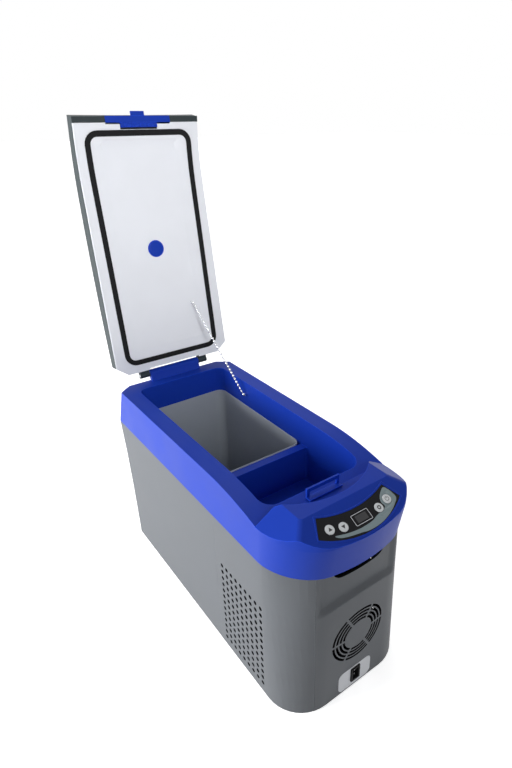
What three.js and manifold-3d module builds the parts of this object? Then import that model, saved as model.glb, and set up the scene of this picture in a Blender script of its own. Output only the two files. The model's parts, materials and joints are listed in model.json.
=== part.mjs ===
// Portable compressor cooler: a narrow chest fridge with a front machine bay,
// a lift-up lid on a rear hinge, a sprung lid latch and a four-button console.
// Millimetres. +X right, -Y front, +Z up; the origin is on the underside, on the
// symmetry plane. The lid is shown open, at the rest value of its hinge.
import * as THREE from 'three';
import { mergeVertices } from 'three/addons/utils/BufferGeometryUtils.js';
import Module from 'manifold-3d';

const wasm = await Module();
wasm.setup();

// ---- Driving dimensions ----------------------------------------------------
const GAP = 0.3; // clearance between pieces that touch
const WALL = 3; // moulded outer walls
const BASE_TOP_Z = 5; // inside of the cabinet floor
const HALF_WIDTH = 118.5; // cabinet, centre to side
const FRONT_Y = -265; // front face at the bottom edge
const REAR_Y = 285; // rear face at the bottom edge
const JOIN_Z = 261.5; // grey cabinet meets the blue collar
const SHOULDER_Z = 336; // flat shoulder that the lid closes on
const CREST_Z = 342; // highest edge of the console
const FRONT_RADIUS = 62; // front corners in plan
const REAR_CHAMFER_WIDTH = 23.5; // rear corners in plan
const REAR_CHAMFER_DEPTH = 14;

// How the walls lean as they rise.
const FRONT_BULGE = 8; // centre of the front, bottom to join
const FRONT_FLARE = 0.0019; // per mm of half width squared, corners tuck back
const REAR_FLARE = 10; // rear leans out, bottom to join
const REAR_FLARE_CURVE = 15;
const REAR_FLATTEN = 7; // the rear corner chamfer gets shallower going up
const COLLAR_REAR_LEAN = 34; // collar corners lean back in above the join
const COLLAR_REAR_FLATTEN = 12;
const CONSOLE_BULGE = 10; // collar swells forward under the console

// Opening and cold box.
const MOUTH_HALF_WIDTH = 90;
const MOUTH_FRONT_Y = -167;
const MOUTH_REAR_Y = 253;
const MOUTH_FRONT_RADIUS = 22;
const MOUTH_REAR_RADIUS = 16;
const LINER_TOP_Z = 286;
const LINER_WALL = 1.7;
const LINER_FLOOR_Z = 45;
const SLEEVE_BOTTOM_Z = 268; // collar wall that the liner stands inside
const DIVIDER_Y = -16; // cold side of the moulded divider
const DIVIDER_THICK = 15;
const DIVIDER_TOP_Z = 284;
const TRAY_FLOOR_Z = 218;

// Machine bay, front of the cabinet.
const BAY_Y = -65; // seam between rear shell and machine housing
const PANEL_HALF_WIDTH = 76;
const PANEL_GAP = 0.4;
const CREASE_Z = 203; // arched crease across the front panel
const CREASE_DROP = 15;
const CREASE_INSET = 7;
const CREASE_RUN = 9;
const CREASE_FADE = 14; // the crease dies out towards the panel sides
const VENT_COLUMNS = 9;
const VENT_ROWS = 13;
const VENT_PITCH = 13.08;
const VENT_DIAMETER = 7.3;
const VENT_SIDES = 4;
const VENT_FIRST_Y = -83.7;
const VENT_TOP_Z = 176.1;
const FAN_Z = 117.6;
const GRILLE_RADIUS = 49.4;
const GRILLE_RINGS = 4;
const GRILLE_PITCH = 6.3;
const GRILLE_SLOT = 3.5;
const GRILLE_SPOKE = 4;
const GRIP_HALF_WIDTH = 50; // hand slot under the collar
const GRIP_BOTTOM_Z = 244;
const SOCKET_HALF_WIDTH = 33; // pale plate round the power inlet
const SOCKET_BOTTOM_Z = 5;
const SOCKET_TOP_Z = 45;
const INLET_WIDTH = 18;
const INLET_HEIGHT = 27;
const INLET_Z = 28.5;

// Console.
const CONSOLE_Y = -235.73; // a point on the sloping console plane
const CONSOLE_Z = 338.86;
const CONSOLE_ANGLE = THREE.MathUtils.degToRad(27.3);
const CREST_ARC_Y = -94; // concave rear edge of the console
const CREST_ARC_RADIUS = 125;
const CREST_HALF_WIDTH = 80; // crest is level this far, then falls
const CREST_FALL = 0.58;
const LEDGE_Z = 320.5; // ledge between the mouth and the console
const SHOULDER_DROP_Y = -60; // shoulder curves down forward of here
const SHOULDER_DROP_RADIUS = 488;
const SHOULDER_FRONT_Y = -183;
const BEZEL_DEPTH = 1.6;
const BEZEL_THICK = 1.2;
const BUTTON_RADIUS = 6.8;
const BUTTON_TRAVEL = 0.8;
const BUTTON_PLACES = [
  ['up', -51.7, 21.5],
  ['down', -32.1, 26.8],
  ['set', 32.1, 26.8],
  ['power', 51.7, 21.5],
];

// Lid, in its closed place.
const AXIS_Y = 283;
const AXIS_Z = 350;
const LID_OPEN = THREE.MathUtils.degToRad(98);
const LID_SEAT = 2; // lid face above the shoulder
const LID_REAR_Y = 273;
const LID_FRONT_Y = -172;
const LID_FRONT_SLANT = 5; // the front edge leans out towards the top
const LID_REAR_HALF_WIDTH = 118;
const LID_FRONT_HALF_WIDTH = 112.8;
const LID_CHAMFER_Y = 255;
const LID_CHAMFER_WIDTH = 23;
const LID_EDGE = 20; // shell height at its two ends
const LID_SWELL = 10; // extra at mid length
const LID_CROWN = 6; // extra on the centre line
const LID_WALL = 3;
const LINER_LIP = 9.5; // dark shell shows this far past the white liner at the front
const LID_LINER_THICK = 2.6;
const DISH_HALF_WIDTH = 65;
const DISH_DEPTH = 4;
const DISH_REAR_Y = 222;
const DISH_FRONT_Y = -130;
const GASKET_OUTER = 97;
const GASKET_WIDTH = 9;
const GASKET_RADIUS = 22;
const GASKET_REAR_Y = 257;
const GASKET_FRONT_MARGIN = 11.5; // white face in front of the gasket
const GASKET_PROUD = 1.6;
const BADGE_RADIUS = 15.3;
const BADGE_Y = 50;
const LATCH_HALF_WIDTH = 57.9;
const LATCH_TAB_HALF_WIDTH = 33;
const LATCH_GAP = 0.5;

// Hinge, catch and stay chain.
const HINGE_HALF_WIDTH = 52;
const HINGE_BARREL = 7.5;
const KNUCKLE_RADIUS = 6;
const KNUCKLE_END = 72;
const ARM_HALF_HEIGHT = 4; // lid arm that carries each knuckle
const PIN_RADIUS = 2.5;
const CATCH_HALF_WIDTH = 30;
const CATCH_Y = -180;
const CATCH_TOP_Z = 338;
const CATCH_THICK = 3;
const HOOK_HALF_WIDTH = 12; // latch hook in the catch window
const HOOK_BITE = 1.6;
const CHAIN_DIAMETER = 3.2;
const CHAIN_SAG = 3;

// ---- Solid helpers ---------------------------------------------------------
function toSolid(geometry) {
  const bare = geometry.clone();
  bare.deleteAttribute('normal');
  bare.deleteAttribute('uv');
  const merged = mergeVertices(bare, 1e-4);
  const index = merged.index.array;
  const kept = [];
  for (let i = 0; i < index.length; i += 3) {
    const [a, b, c] = [index[i], index[i + 1], index[i + 2]];
    if (a !== b && b !== c && c !== a) kept.push(a, b, c);
  }
  return new wasm.Manifold(new wasm.Mesh({
    numProp: 3,
    vertProperties: new Float32Array(merged.attributes.position.array),
    triVerts: new Uint32Array(kept),
  }));
}

function toGeometry(solid) {
  const mesh = solid.getMesh();
  const geometry = new THREE.BufferGeometry();
  geometry.setAttribute('position', new THREE.BufferAttribute(mesh.vertProperties, 3));
  geometry.setIndex(new THREE.BufferAttribute(mesh.triVerts, 1));
  geometry.computeVertexNormals();
  return geometry;
}

const joined = (first, ...rest) => rest.reduce((sum, solid) => sum.add(solid), first);
const cut = (first, ...rest) => rest.reduce((left, solid) => left.subtract(solid), first);

// A plan shape raised from z0 to z1.
function raised(shape, z0, z1, { steps = 1, curveSegments = 3, warp } = {}) {
  const geometry = new THREE.ExtrudeGeometry(shape, {
    depth: z1 - z0, steps, curveSegments, bevelEnabled: false,
  });
  geometry.translate(0, 0, z0);
  if (warp) bend(geometry, warp);
  return toSolid(geometry);
}

// A (y, z) shape swept along X from x0 to x1.
function swept(shape, x0, x1, curveSegments = 4) {
  const geometry = new THREE.ExtrudeGeometry(shape, {
    depth: x1 - x0, curveSegments, bevelEnabled: false,
  });
  geometry.translate(0, 0, x0);
  geometry.applyMatrix4(new THREE.Matrix4().makeBasis(
    new THREE.Vector3(0, 1, 0), new THREE.Vector3(0, 0, 1), new THREE.Vector3(1, 0, 0)));
  return toSolid(geometry);
}

// An (x, z) shape swept along Y from y0 to y1.
function driven(shape, y0, y1, curveSegments = 4) {
  const geometry = new THREE.ExtrudeGeometry(shape, {
    depth: y1 - y0, curveSegments, bevelEnabled: false,
  });
  geometry.rotateX(Math.PI / 2);
  geometry.translate(0, y1, 0);
  return toSolid(geometry);
}

function block(x0, x1, y0, y1, z0, z1) {
  const geometry = new THREE.BoxGeometry(x1 - x0, y1 - y0, z1 - z0);
  geometry.translate((x0 + x1) / 2, (y0 + y1) / 2, (z0 + z1) / 2);
  return toSolid(geometry);
}

function rod(radius, length, sides, axis, x, y, z) {
  const geometry = new THREE.CylinderGeometry(radius, radius, length, sides);
  if (axis === 'x') geometry.rotateZ(Math.PI / 2);
  if (axis === 'z') geometry.rotateX(Math.PI / 2);
  geometry.translate(x, y, z);
  return toSolid(geometry);
}

function bend(geometry, warp) {
  const place = geometry.attributes.position;
  const point = new THREE.Vector3();
  for (let i = 0; i < place.count; i += 1) {
    point.fromBufferAttribute(place, i);
    warp(point);
    place.setXYZ(i, point.x, point.y, point.z);
  }
}

// A six-sided block whose cells follow map(u, v, w), u in -1..1, v and w in 0..1.
function quilted(nx, ny, map) {
  const geometry = new THREE.BoxGeometry(2, 1, 1, nx, ny, 1);
  geometry.translate(0, 0.5, 0.5);
  bend(geometry, (p) => p.copy(map(p.x, p.y, p.z)));
  return toSolid(geometry);
}

// Rounded rectangle with one corner radius at y0 and another at y1.
function roundedRect(x0, x1, y0, y1, nearRadius, farRadius) {
  const shape = new THREE.Shape();
  shape.absarc(x1 - nearRadius, y0 + nearRadius, nearRadius, -Math.PI / 2, 0, false);
  shape.absarc(x1 - farRadius, y1 - farRadius, farRadius, 0, Math.PI / 2, false);
  shape.absarc(x0 + farRadius, y1 - farRadius, farRadius, Math.PI / 2, Math.PI, false);
  shape.absarc(x0 + nearRadius, y0 + nearRadius, nearRadius, Math.PI, Math.PI * 1.5, false);
  return shape;
}

const disc = (x, y, radius) => {
  const shape = new THREE.Shape();
  shape.absarc(x, y, radius, 0, Math.PI * 2, false);
  return shape;
};

const ramp = (value) => Math.min(1, Math.max(0, value));

// ---- Cabinet surfaces ------------------------------------------------------
const REAR_CORNER_Y = REAR_Y - REAR_CHAMFER_DEPTH;
const REAR_FLAT_HALF = HALF_WIDTH - REAR_CHAMFER_WIDTH;
const CORNER_Y = FRONT_Y + FRONT_RADIUS;
const FRONT_FLAT_HALF = HALF_WIDTH - FRONT_RADIUS;
const CHAMFER_TURN = Math.atan2(REAR_CHAMFER_WIDTH, REAR_CHAMFER_DEPTH);

// Plan outline of the cabinet at its bottom edge, moved inwards by inset.
function cabinetOutline(inset) {
  const side = HALF_WIDTH - inset;
  const cornerY = REAR_CORNER_Y - inset * Math.tan(CHAMFER_TURN / 2);
  const rearHalf = REAR_FLAT_HALF - inset * Math.tan((Math.PI / 2 - CHAMFER_TURN) / 2);
  const shape = new THREE.Shape();
  shape.moveTo(side, CORNER_Y);
  shape.lineTo(side, cornerY);
  shape.lineTo(rearHalf, REAR_Y - inset);
  shape.lineTo(-rearHalf, REAR_Y - inset);
  shape.lineTo(-side, cornerY);
  shape.lineTo(-side, CORNER_Y);
  shape.absarc(-FRONT_FLAT_HALF, CORNER_Y, FRONT_RADIUS - inset, Math.PI, Math.PI * 1.5, false);
  const spans = 6;
  for (let i = 1; i < spans; i += 1) {
    shape.lineTo(FRONT_FLAT_HALF * (2 * i / spans - 1), FRONT_Y + inset);
  }
  shape.absarc(FRONT_FLAT_HALF, CORNER_Y, FRONT_RADIUS - inset, Math.PI * 1.5, Math.PI * 2, false);
  return shape;
}

// Moves a point of the upright outline onto the leaning walls.
function leanCabinet(p) {
  const t = ramp(p.z / JOIN_Z);
  const frontward = ramp((-150 - p.y) / 60);
  const rearward = ramp((p.y - 150) / (REAR_CORNER_Y - 150));
  const flat = ramp((p.y - REAR_CORNER_Y) / REAR_CHAMFER_DEPTH);
  const front = t * (FRONT_FLARE * p.x * p.x - FRONT_BULGE) * frontward;
  const rear = (REAR_FLARE * t + REAR_FLARE_CURVE * t ** 3) * rearward;
  const above = ramp((p.z - JOIN_Z) / (CREST_Z - JOIN_Z));
  const swell = CONSOLE_BULGE * ramp((p.z - JOIN_Z) / 55) * ramp((-185 - p.y) / 50);
  const lean = above * (COLLAR_REAR_LEAN * rearward - COLLAR_REAR_FLATTEN * flat);
  p.y += front + rear - REAR_FLATTEN * t * flat - swell - lean;
}

// Everything inside the walls, moved in by inset, between z0 and z1.
const CABINET_STEPS = 4;
const COLLAR_STEPS = 6;
function cabinetSolid(inset, z0, z1) {
  const storey = (low, high, steps) => raised(cabinetOutline(inset), low, high,
    { steps, curveSegments: 5, warp: leanCabinet });
  const whole = joined(storey(0, JOIN_Z, CABINET_STEPS), storey(JOIN_Z, CREST_Z, COLLAR_STEPS));
  return whole.intersect(block(-300, 300, -400, 400, z0, z1));
}

// Front face of the cabinet at (x, z).
function frontFaceY(x, z) {
  const over = Math.max(0, Math.abs(x) - FRONT_FLAT_HALF);
  const p = { x, y: CORNER_Y - Math.sqrt(FRONT_RADIUS ** 2 - over ** 2), z };
  leanCabinet(p);
  return p.y;
}

// ---- Materials -------------------------------------------------------------
const paint = (color, roughness, metalness = 0) => new THREE.MeshStandardMaterial({
  color, roughness, metalness,
});
const GREY = () => paint(0x5b6064, 0.6);
const BLUE = () => paint(0x1c3fb0, 0.35);
const DARK = () => paint(0x2c3234, 0.5);
const BLACK = () => paint(0x0c0c0e, 0.4);
const WHITE = () => paint(0xf1f3f6, 0.25);
const METAL = () => paint(0xb9bcc0, 0.3, 1);
const COPPER = () => paint(0xb87348, 0.3, 1);
const FOAM = () => paint(0xe6dfc8, 0.9);

const fridge = new THREE.Group();

function place(parent, name, shape, material) {
  const geometry = shape instanceof THREE.BufferGeometry ? shape : toGeometry(shape);
  const mesh = new THREE.Mesh(geometry, material);
  mesh.name = name;
  parent.add(mesh);
  return mesh;
}

// ---- Rear shell, foam and cold box -----------------------------------------
const behindBay = (y) => block(-200, 200, y, 400, -10, 400);
const FOAM_TOP_Z = SLEEVE_BOTTOM_Z - 8;
const SLEEVE_HALF = MOUTH_HALF_WIDTH + WALL;
const TRAY_BOTTOM_Z = TRAY_FLOOR_Z - WALL;

function cabinetShell() {
  const outer = cabinetSolid(0, 0, JOIN_Z - GAP).intersect(behindBay(BAY_Y + GAP / 2));
  const inner = cabinetSolid(WALL, BASE_TOP_Z, JOIN_Z + 5).intersect(behindBay(BAY_Y + WALL));
  const trayRoom = block(-SLEEVE_HALF - GAP, SLEEVE_HALF + GAP, BAY_Y - 5, 0,
    TRAY_BOTTOM_Z - GAP, JOIN_Z + 5);
  const feet = footPlaces().filter((p) => p.y > BAY_Y).map((p) => footHole(p));
  return cut(outer, inner, trayRoom, ...feet);
}

function liner() {
  const half = MOUTH_HALF_WIDTH - GAP;
  const rear = MOUTH_REAR_Y - GAP;
  const front = DIVIDER_Y + GAP;
  const corner = MOUTH_REAR_RADIUS;
  const tub = (inset, z0, z1) => raised(
    roundedRect(-half + inset, half - inset, front + inset, rear - inset, corner - inset, corner - inset),
    z0, z1);
  const room = tub(LINER_WALL, LINER_FLOOR_Z, LINER_TOP_Z + 5);
  return cut(tub(0, LINER_FLOOR_Z - LINER_WALL, LINER_TOP_Z), room);
}

const COIL_GAP = 1.2;
const COIL_TOP_Z = 230;
function coldBoxRoom(grow, z1) {
  const half = MOUTH_HALF_WIDTH - GAP + grow;
  return raised(roundedRect(-half, half, DIVIDER_Y + GAP - grow, MOUTH_REAR_Y - GAP + grow,
    MOUTH_REAR_RADIUS + grow, MOUTH_REAR_RADIUS + grow), LINER_FLOOR_Z - LINER_WALL - grow, z1);
}

// Aluminium evaporator sheet wrapped round the sides and rear of the liner.
function evaporator() {
  const band = cut(coldBoxRoom(COIL_GAP + GAP, COIL_TOP_Z), coldBoxRoom(GAP, COIL_TOP_Z + 5));
  return band.intersect(block(-200, 200, DIVIDER_Y + 12, 400, LINER_FLOOR_Z + 15, 400));
}

function foam() {
  const outer = cabinetSolid(WALL + GAP, BASE_TOP_Z + GAP, FOAM_TOP_Z)
    .intersect(behindBay(BAY_Y + WALL + GAP));
  const tray = block(-SLEEVE_HALF - GAP, SLEEVE_HALF + GAP, BAY_Y - 5, DIVIDER_Y + GAP,
    TRAY_BOTTOM_Z - GAP, JOIN_Z + 5);
  return cut(outer, coldBoxRoom(COIL_GAP + 2 * GAP, JOIN_Z + 20), tray);
}

// ---- Machine housing -------------------------------------------------------
const FOOT_RADIUS = 13;
const FOOT_INSET = 32;
const FOOT_DEPTH = 3;
function footPlaces() {
  const rows = [['front', CORNER_Y - 5], ['rear', REAR_CORNER_Y - FOOT_INSET]];
  const sides = [['left', -1], ['right', 1]];
  return rows.flatMap(([row, y]) => sides.map(([side, sign]) => (
    { name: `foot_${row}_${side}`, x: sign * (HALF_WIDTH - FOOT_INSET), y })));
}
const footHole = (p) => rod(FOOT_RADIUS + GAP, 2 * (FOOT_DEPTH + GAP), 16, 'z', p.x, p.y, 0);
const foot = (p) => rod(FOOT_RADIUS, FOOT_DEPTH, 16, 'z', p.x, p.y, FOOT_DEPTH / 2);

function vents() {
  const cell = new THREE.CylinderGeometry(VENT_DIAMETER / 2, VENT_DIAMETER / 2, 4 * WALL, VENT_SIDES);
  cell.rotateZ(Math.PI / 2);
  const one = toSolid(cell);
  const holes = [];
  for (const side of [-1, 1]) {
    for (let column = 0; column < VENT_COLUMNS; column += 1) {
      for (let row = 0; row < VENT_ROWS; row += 1) {
        holes.push(one.translate([side * (HALF_WIDTH - WALL / 2),
          VENT_FIRST_Y - column * VENT_PITCH, VENT_TOP_Z - row * VENT_PITCH]));
      }
    }
  }
  return wasm.Manifold.union(holes);
}

const panelOpening = (half, z0) => block(-half, half, FRONT_Y - 60, CORNER_Y - 20, z0, 400);

function machineHousing() {
  const outer = cabinetSolid(0, 0, JOIN_Z - GAP);
  const inner = cabinetSolid(WALL, BASE_TOP_Z, JOIN_Z + 5);
  const shell = cut(outer, inner).intersect(block(-200, 200, -400, BAY_Y - GAP / 2, -10, 400));
  const feet = footPlaces().filter((p) => p.y < BAY_Y).map((p) => footHole(p));
  return cut(shell, vents(), panelOpening(PANEL_HALF_WIDTH + PANEL_GAP, BASE_TOP_Z), ...feet);
}

// Slotted ring of the fan grille, as cutters through the panel.
function grilleSlots() {
  const slots = [];
  for (let ring = 0; ring < GRILLE_RINGS; ring += 1) {
    const outer = GRILLE_RADIUS - ring * GRILLE_PITCH;
    const ringShape = disc(0, FAN_Z, outer);
    ringShape.holes.push(disc(0, FAN_Z, outer - GRILLE_SLOT));
    slots.push(driven(ringShape, FRONT_Y - 30, FRONT_Y + 20, 14));
  }
  const spokes = [0, 1, 2].map((i) => {
    const bar = new THREE.BoxGeometry(3 * GRILLE_RADIUS, 90, GRILLE_SPOKE);
    bar.rotateY(i * Math.PI / 3);
    bar.translate(0, FRONT_Y, FAN_Z);
    return toSolid(bar);
  });
  return cut(wasm.Manifold.union(slots), ...spokes);
}

const creaseInset = (x, z) => {
  const crease = CREASE_Z - CREASE_DROP * (x / PANEL_HALF_WIDTH) ** 2;
  const fade = ramp((PANEL_HALF_WIDTH - Math.abs(x)) / CREASE_FADE);
  return CREASE_INSET * ramp((z - crease) / CREASE_RUN) * fade;
};
const panelFaceY = (x, z) => frontFaceY(x, z) + creaseInset(x, z);

// Arched notch in the top edge of the panel, where fingers reach under the collar.
function gripNotch(half, bottom) {
  const rise = JOIN_Z + 5 - bottom;
  const shape = new THREE.Shape();
  shape.moveTo(-half, bottom + rise);
  shape.quadraticCurveTo(-half, bottom, -half + 2.2 * rise, bottom);
  shape.lineTo(half - 2.2 * rise, bottom);
  shape.quadraticCurveTo(half, bottom, half, bottom + rise);
  return driven(shape, FRONT_Y - 40, CORNER_Y);
}

const socketShape = (grow) => roundedRect(-SOCKET_HALF_WIDTH - grow, SOCKET_HALF_WIDTH + grow,
  SOCKET_BOTTOM_Z - grow, SOCKET_TOP_Z + grow, 10 + grow, 10 + grow);
const SOCKET_FACE_Y = FRONT_Y - 1.4;
const inletBlock = (grow, y0, y1) => block(
  -INLET_WIDTH / 2 - grow, INLET_WIDTH / 2 + grow, y0, y1,
  INLET_Z - INLET_HEIGHT / 2 - grow, INLET_Z + INLET_HEIGHT / 2 + grow);
const inletHole = (grow) => inletBlock(grow, FRONT_Y - 30, FRONT_Y + 30);

function frontPanel() {
  const z0 = BASE_TOP_Z + PANEL_GAP;
  const z1 = JOIN_Z - GAP;
  const xs = [-PANEL_HALF_WIDTH, -FRONT_FLAT_HALF - 9, -FRONT_FLAT_HALF, -FRONT_FLAT_HALF / 2];
  xs.push(0, ...xs.map((x) => -x).reverse());
  const creaseRows = Array.from({ length: 9 }, (_, i) => CREASE_Z - CREASE_DROP - 1 + i * 3.3);
  const zs = [z0, ...creaseRows, z1];
  const sheet = quilted(xs.length - 1, zs.length - 1, (u, v, w) => {
    const x = xs[Math.round((u + 1) / 2 * (xs.length - 1))];
    const z = zs[Math.round(v * (zs.length - 1))];
    return new THREE.Vector3(x, panelFaceY(x, z) + WALL * (1 - w), z);
  });
  const seat = driven(socketShape(GAP), FRONT_Y - 20, FRONT_Y + 0.4);
  const through = inletHole(GAP);
  return cut(sheet, grilleSlots(), gripNotch(GRIP_HALF_WIDTH, GRIP_BOTTOM_Z), seat, through);
}

// Open-fronted channel behind the hand slot.
const GRIP_BACK_Y = FRONT_Y + 26;
function gripPocket() {
  const z0 = GRIP_BOTTOM_Z - 6;
  const half = GRIP_HALF_WIDTH + 6;
  const front = panelFaceY(half, z0) + WALL + GAP;
  const outer = block(-half, half, front, GRIP_BACK_Y + 2, z0, JOIN_Z - 1);
  const inner = block(-half + 2, half - 2, front - 5, GRIP_BACK_Y, z0 + 2, JOIN_Z + 5);
  return cut(outer, inner);
}

function socketPlate() {
  return cut(driven(socketShape(0), SOCKET_FACE_Y, FRONT_Y), inletHole(GAP));
}

// Power inlet: a collar in the panel with a blind socket and two contact pins.
const INLET_FRONT_Y = SOCKET_FACE_Y - 2.5;
const INLET_SEAT_Y = FRONT_Y + 12;
const INLET_BACK_Y = FRONT_Y + 22;
const PIN_DIAMETER = 3.2;
const PIN_LENGTH = 12;
const PIN_SPREAD = 5; // each pin from the middle of the inlet
function powerInlet() {
  const body = inletBlock(0, INLET_FRONT_Y, INLET_BACK_Y);
  const cavity = inletBlock(-WALL, INLET_FRONT_Y - 5, INLET_SEAT_Y);
  return cut(body, cavity);
}
const INLET_PIN_Y = INLET_SEAT_Y - GAP - PIN_LENGTH / 2;
const inletPin = (z) => rod(PIN_DIAMETER / 2, PIN_LENGTH, 10, 'y', 0, INLET_PIN_Y, z);

// ---- Blue collar -----------------------------------------------------------
// How far the shoulder has curved down at y.
const shoulderDrop = (y) => {
  const run = Math.max(0, SHOULDER_DROP_Y - y);
  return SHOULDER_DROP_RADIUS - Math.sqrt(SHOULDER_DROP_RADIUS ** 2 - run * run);
};

// Everything above the shoulder, ledge and console; drop lowers the surface.
function aboveCollar(drop) {
  const high = 500;
  const angle = Math.asin((SHOULDER_DROP_Y - SHOULDER_FRONT_Y) / SHOULDER_DROP_RADIUS);
  const top = SHOULDER_Z - drop;
  const shoulder = new THREE.Shape();
  shoulder.moveTo(SHOULDER_FRONT_Y - drop, high);
  shoulder.lineTo(SHOULDER_FRONT_Y - drop, top - shoulderDrop(SHOULDER_FRONT_Y));
  shoulder.absarc(SHOULDER_DROP_Y, top - SHOULDER_DROP_RADIUS, SHOULDER_DROP_RADIUS,
    Math.PI / 2 + angle, Math.PI / 2, true);
  shoulder.lineTo(high, top);
  shoulder.lineTo(high, high);
  const fall = new THREE.Shape();
  const reach = 120;
  fall.moveTo(CREST_HALF_WIDTH, CREST_Z - drop);
  fall.lineTo(CREST_HALF_WIDTH + reach, CREST_Z - drop - CREST_FALL * reach);
  fall.lineTo(CREST_HALF_WIDTH + reach, high);
  fall.lineTo(CREST_HALF_WIDTH, high);
  const right = driven(fall, -high, SHOULDER_FRONT_Y - drop + 0.4);
  const ledge = rod(CREST_ARC_RADIUS + drop, 200, 64, 'z', 0, CREST_ARC_Y, LEDGE_Z - drop + 100);
  const crest = ledge.intersect(block(-high, high, -high, SHOULDER_FRONT_Y - drop + 0.4, 0, high));
  const slope = new THREE.BoxGeometry(600, 400, 200);
  slope.translate(0, 0, 100 - drop);
  slope.rotateX(CONSOLE_ANGLE);
  slope.translate(0, CONSOLE_Y, CONSOLE_Z);
  return [swept(shoulder, -300, 300), right, right.mirror([1, 0, 0]), crest, toSolid(slope)];
}

const mouthShape = (grow, y0, y1, near, far) => roundedRect(
  -MOUTH_HALF_WIDTH - grow, MOUTH_HALF_WIDTH + grow, y0 - grow, y1 + grow, near + grow, far + grow);

function topCollar() {
  const skin = cut(cabinetSolid(0, JOIN_Z, CREST_Z), ...aboveCollar(0));
  const sleeve = raised(mouthShape(WALL, MOUTH_FRONT_Y, MOUTH_REAR_Y, MOUTH_FRONT_RADIUS, MOUTH_REAR_RADIUS),
    0, 500);
  const hollow = cut(cabinetSolid(WALL, JOIN_Z - 5, CREST_Z - WALL), ...aboveCollar(WALL), sleeve);
  const trayRear = DIVIDER_Y - DIVIDER_THICK;
  const trayOuter = raised(mouthShape(WALL, MOUTH_FRONT_Y, DIVIDER_Y - WALL, MOUTH_FRONT_RADIUS, 1),
    TRAY_BOTTOM_Z, SLEEVE_BOTTOM_Z + 12);
  const trayRoom = raised(mouthShape(0, MOUTH_FRONT_Y, trayRear, MOUTH_FRONT_RADIUS, 5), TRAY_FLOOR_Z, 500);
  const mouth = mouthShape(0, MOUTH_FRONT_Y, MOUTH_REAR_Y, MOUTH_FRONT_RADIUS, MOUTH_REAR_RADIUS);
  const overDivider = raised(mouth, DIVIDER_TOP_Z, 500);
  const foodRoom = raised(mouthShape(0, DIVIDER_Y, MOUTH_REAR_Y, 1, MOUTH_REAR_RADIUS), 0, 500);
  const underSleeve = block(-SLEEVE_HALF, SLEEVE_HALF, DIVIDER_Y, MOUTH_REAR_Y + WALL, 0, SLEEVE_BOTTOM_Z);
  const underDivider = block(-MOUTH_HALF_WIDTH + WALL, MOUTH_HALF_WIDTH - WALL,
    trayRear + WALL, DIVIDER_Y - WALL, 0, DIVIDER_TOP_Z - WALL);
  const shell = cut(skin, hollow, underSleeve);
  return cut(joined(shell, trayOuter), trayRoom, overDivider, foodRoom, underDivider, ...consoleCuts());
}

// ---- Console ---------------------------------------------------------------
// Console pieces are drawn flat: x across, y up the slope, z out of the face.
const BEZEL_TOP_HALF = 60;
const BEZEL_TOP_DIP = 11.5;
const BEZEL_LOW_HALF = 74;
const BEZEL_LOW_Y = -26.5;
const BEZEL_LOW_DIP = 22;
const arcRadius = (half, dip) => (half * half + dip * dip) / (2 * dip);

function crescent(inset) {
  const topRadius = arcRadius(BEZEL_TOP_HALF, BEZEL_TOP_DIP);
  const topY = topRadius - BEZEL_TOP_DIP;
  const lowRadius = arcRadius(BEZEL_LOW_HALF, BEZEL_LOW_DIP);
  const lowY = BEZEL_LOW_Y - BEZEL_LOW_DIP + lowRadius;
  const topAngle = Math.asin((BEZEL_TOP_HALF - inset) / (topRadius + inset));
  const lowAngle = Math.asin((BEZEL_LOW_HALF - 1.2 * inset) / (lowRadius - inset));
  const shape = new THREE.Shape();
  shape.absarc(0, lowY, lowRadius - inset, -Math.PI / 2 - lowAngle, -Math.PI / 2 + lowAngle, false);
  shape.absarc(0, topY, topRadius + inset, -Math.PI / 2 + topAngle, -Math.PI / 2 - topAngle, true);
  return shape;
}

const DISPLAY_HALF = 15;
const DISPLAY_TOP = -18.7;
const DISPLAY_LOW = -35.2;
const displayShape = (grow) => roundedRect(-DISPLAY_HALF - grow, DISPLAY_HALF + grow,
  DISPLAY_LOW - grow, DISPLAY_TOP + grow, 2.5 + grow, 2.5 + grow);

function onConsole(solid) {
  const place4 = new THREE.Matrix4().makeRotationX(CONSOLE_ANGLE).setPosition(0, CONSOLE_Y, CONSOLE_Z);
  return solid.transform(place4.toArray());
}

const buttonHoles = (depth) => BUTTON_PLACES.map(([, x, s]) => rod(
  BUTTON_RADIUS + GAP, depth, 20, 'z', x, -s, 0));

function consoleCuts() {
  const pocket = raised(crescent(0), -BEZEL_DEPTH, 20, { curveSegments: 8 });
  const display = raised(displayShape(-2), -4 * WALL, 5);
  return [pocket, display, ...buttonHoles(8 * WALL)].map(onConsole);
}

function controlBezel() {
  const low = GAP - BEZEL_DEPTH;
  const plate = raised(crescent(GAP), low, low + BEZEL_THICK, { curveSegments: 8 });
  return onConsole(cut(plate, raised(displayShape(GAP), -5, 5), ...buttonHoles(10)));
}

const displayWindow = () => onConsole(raised(displayShape(0), GAP - BEZEL_DEPTH, 0.2));

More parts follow.
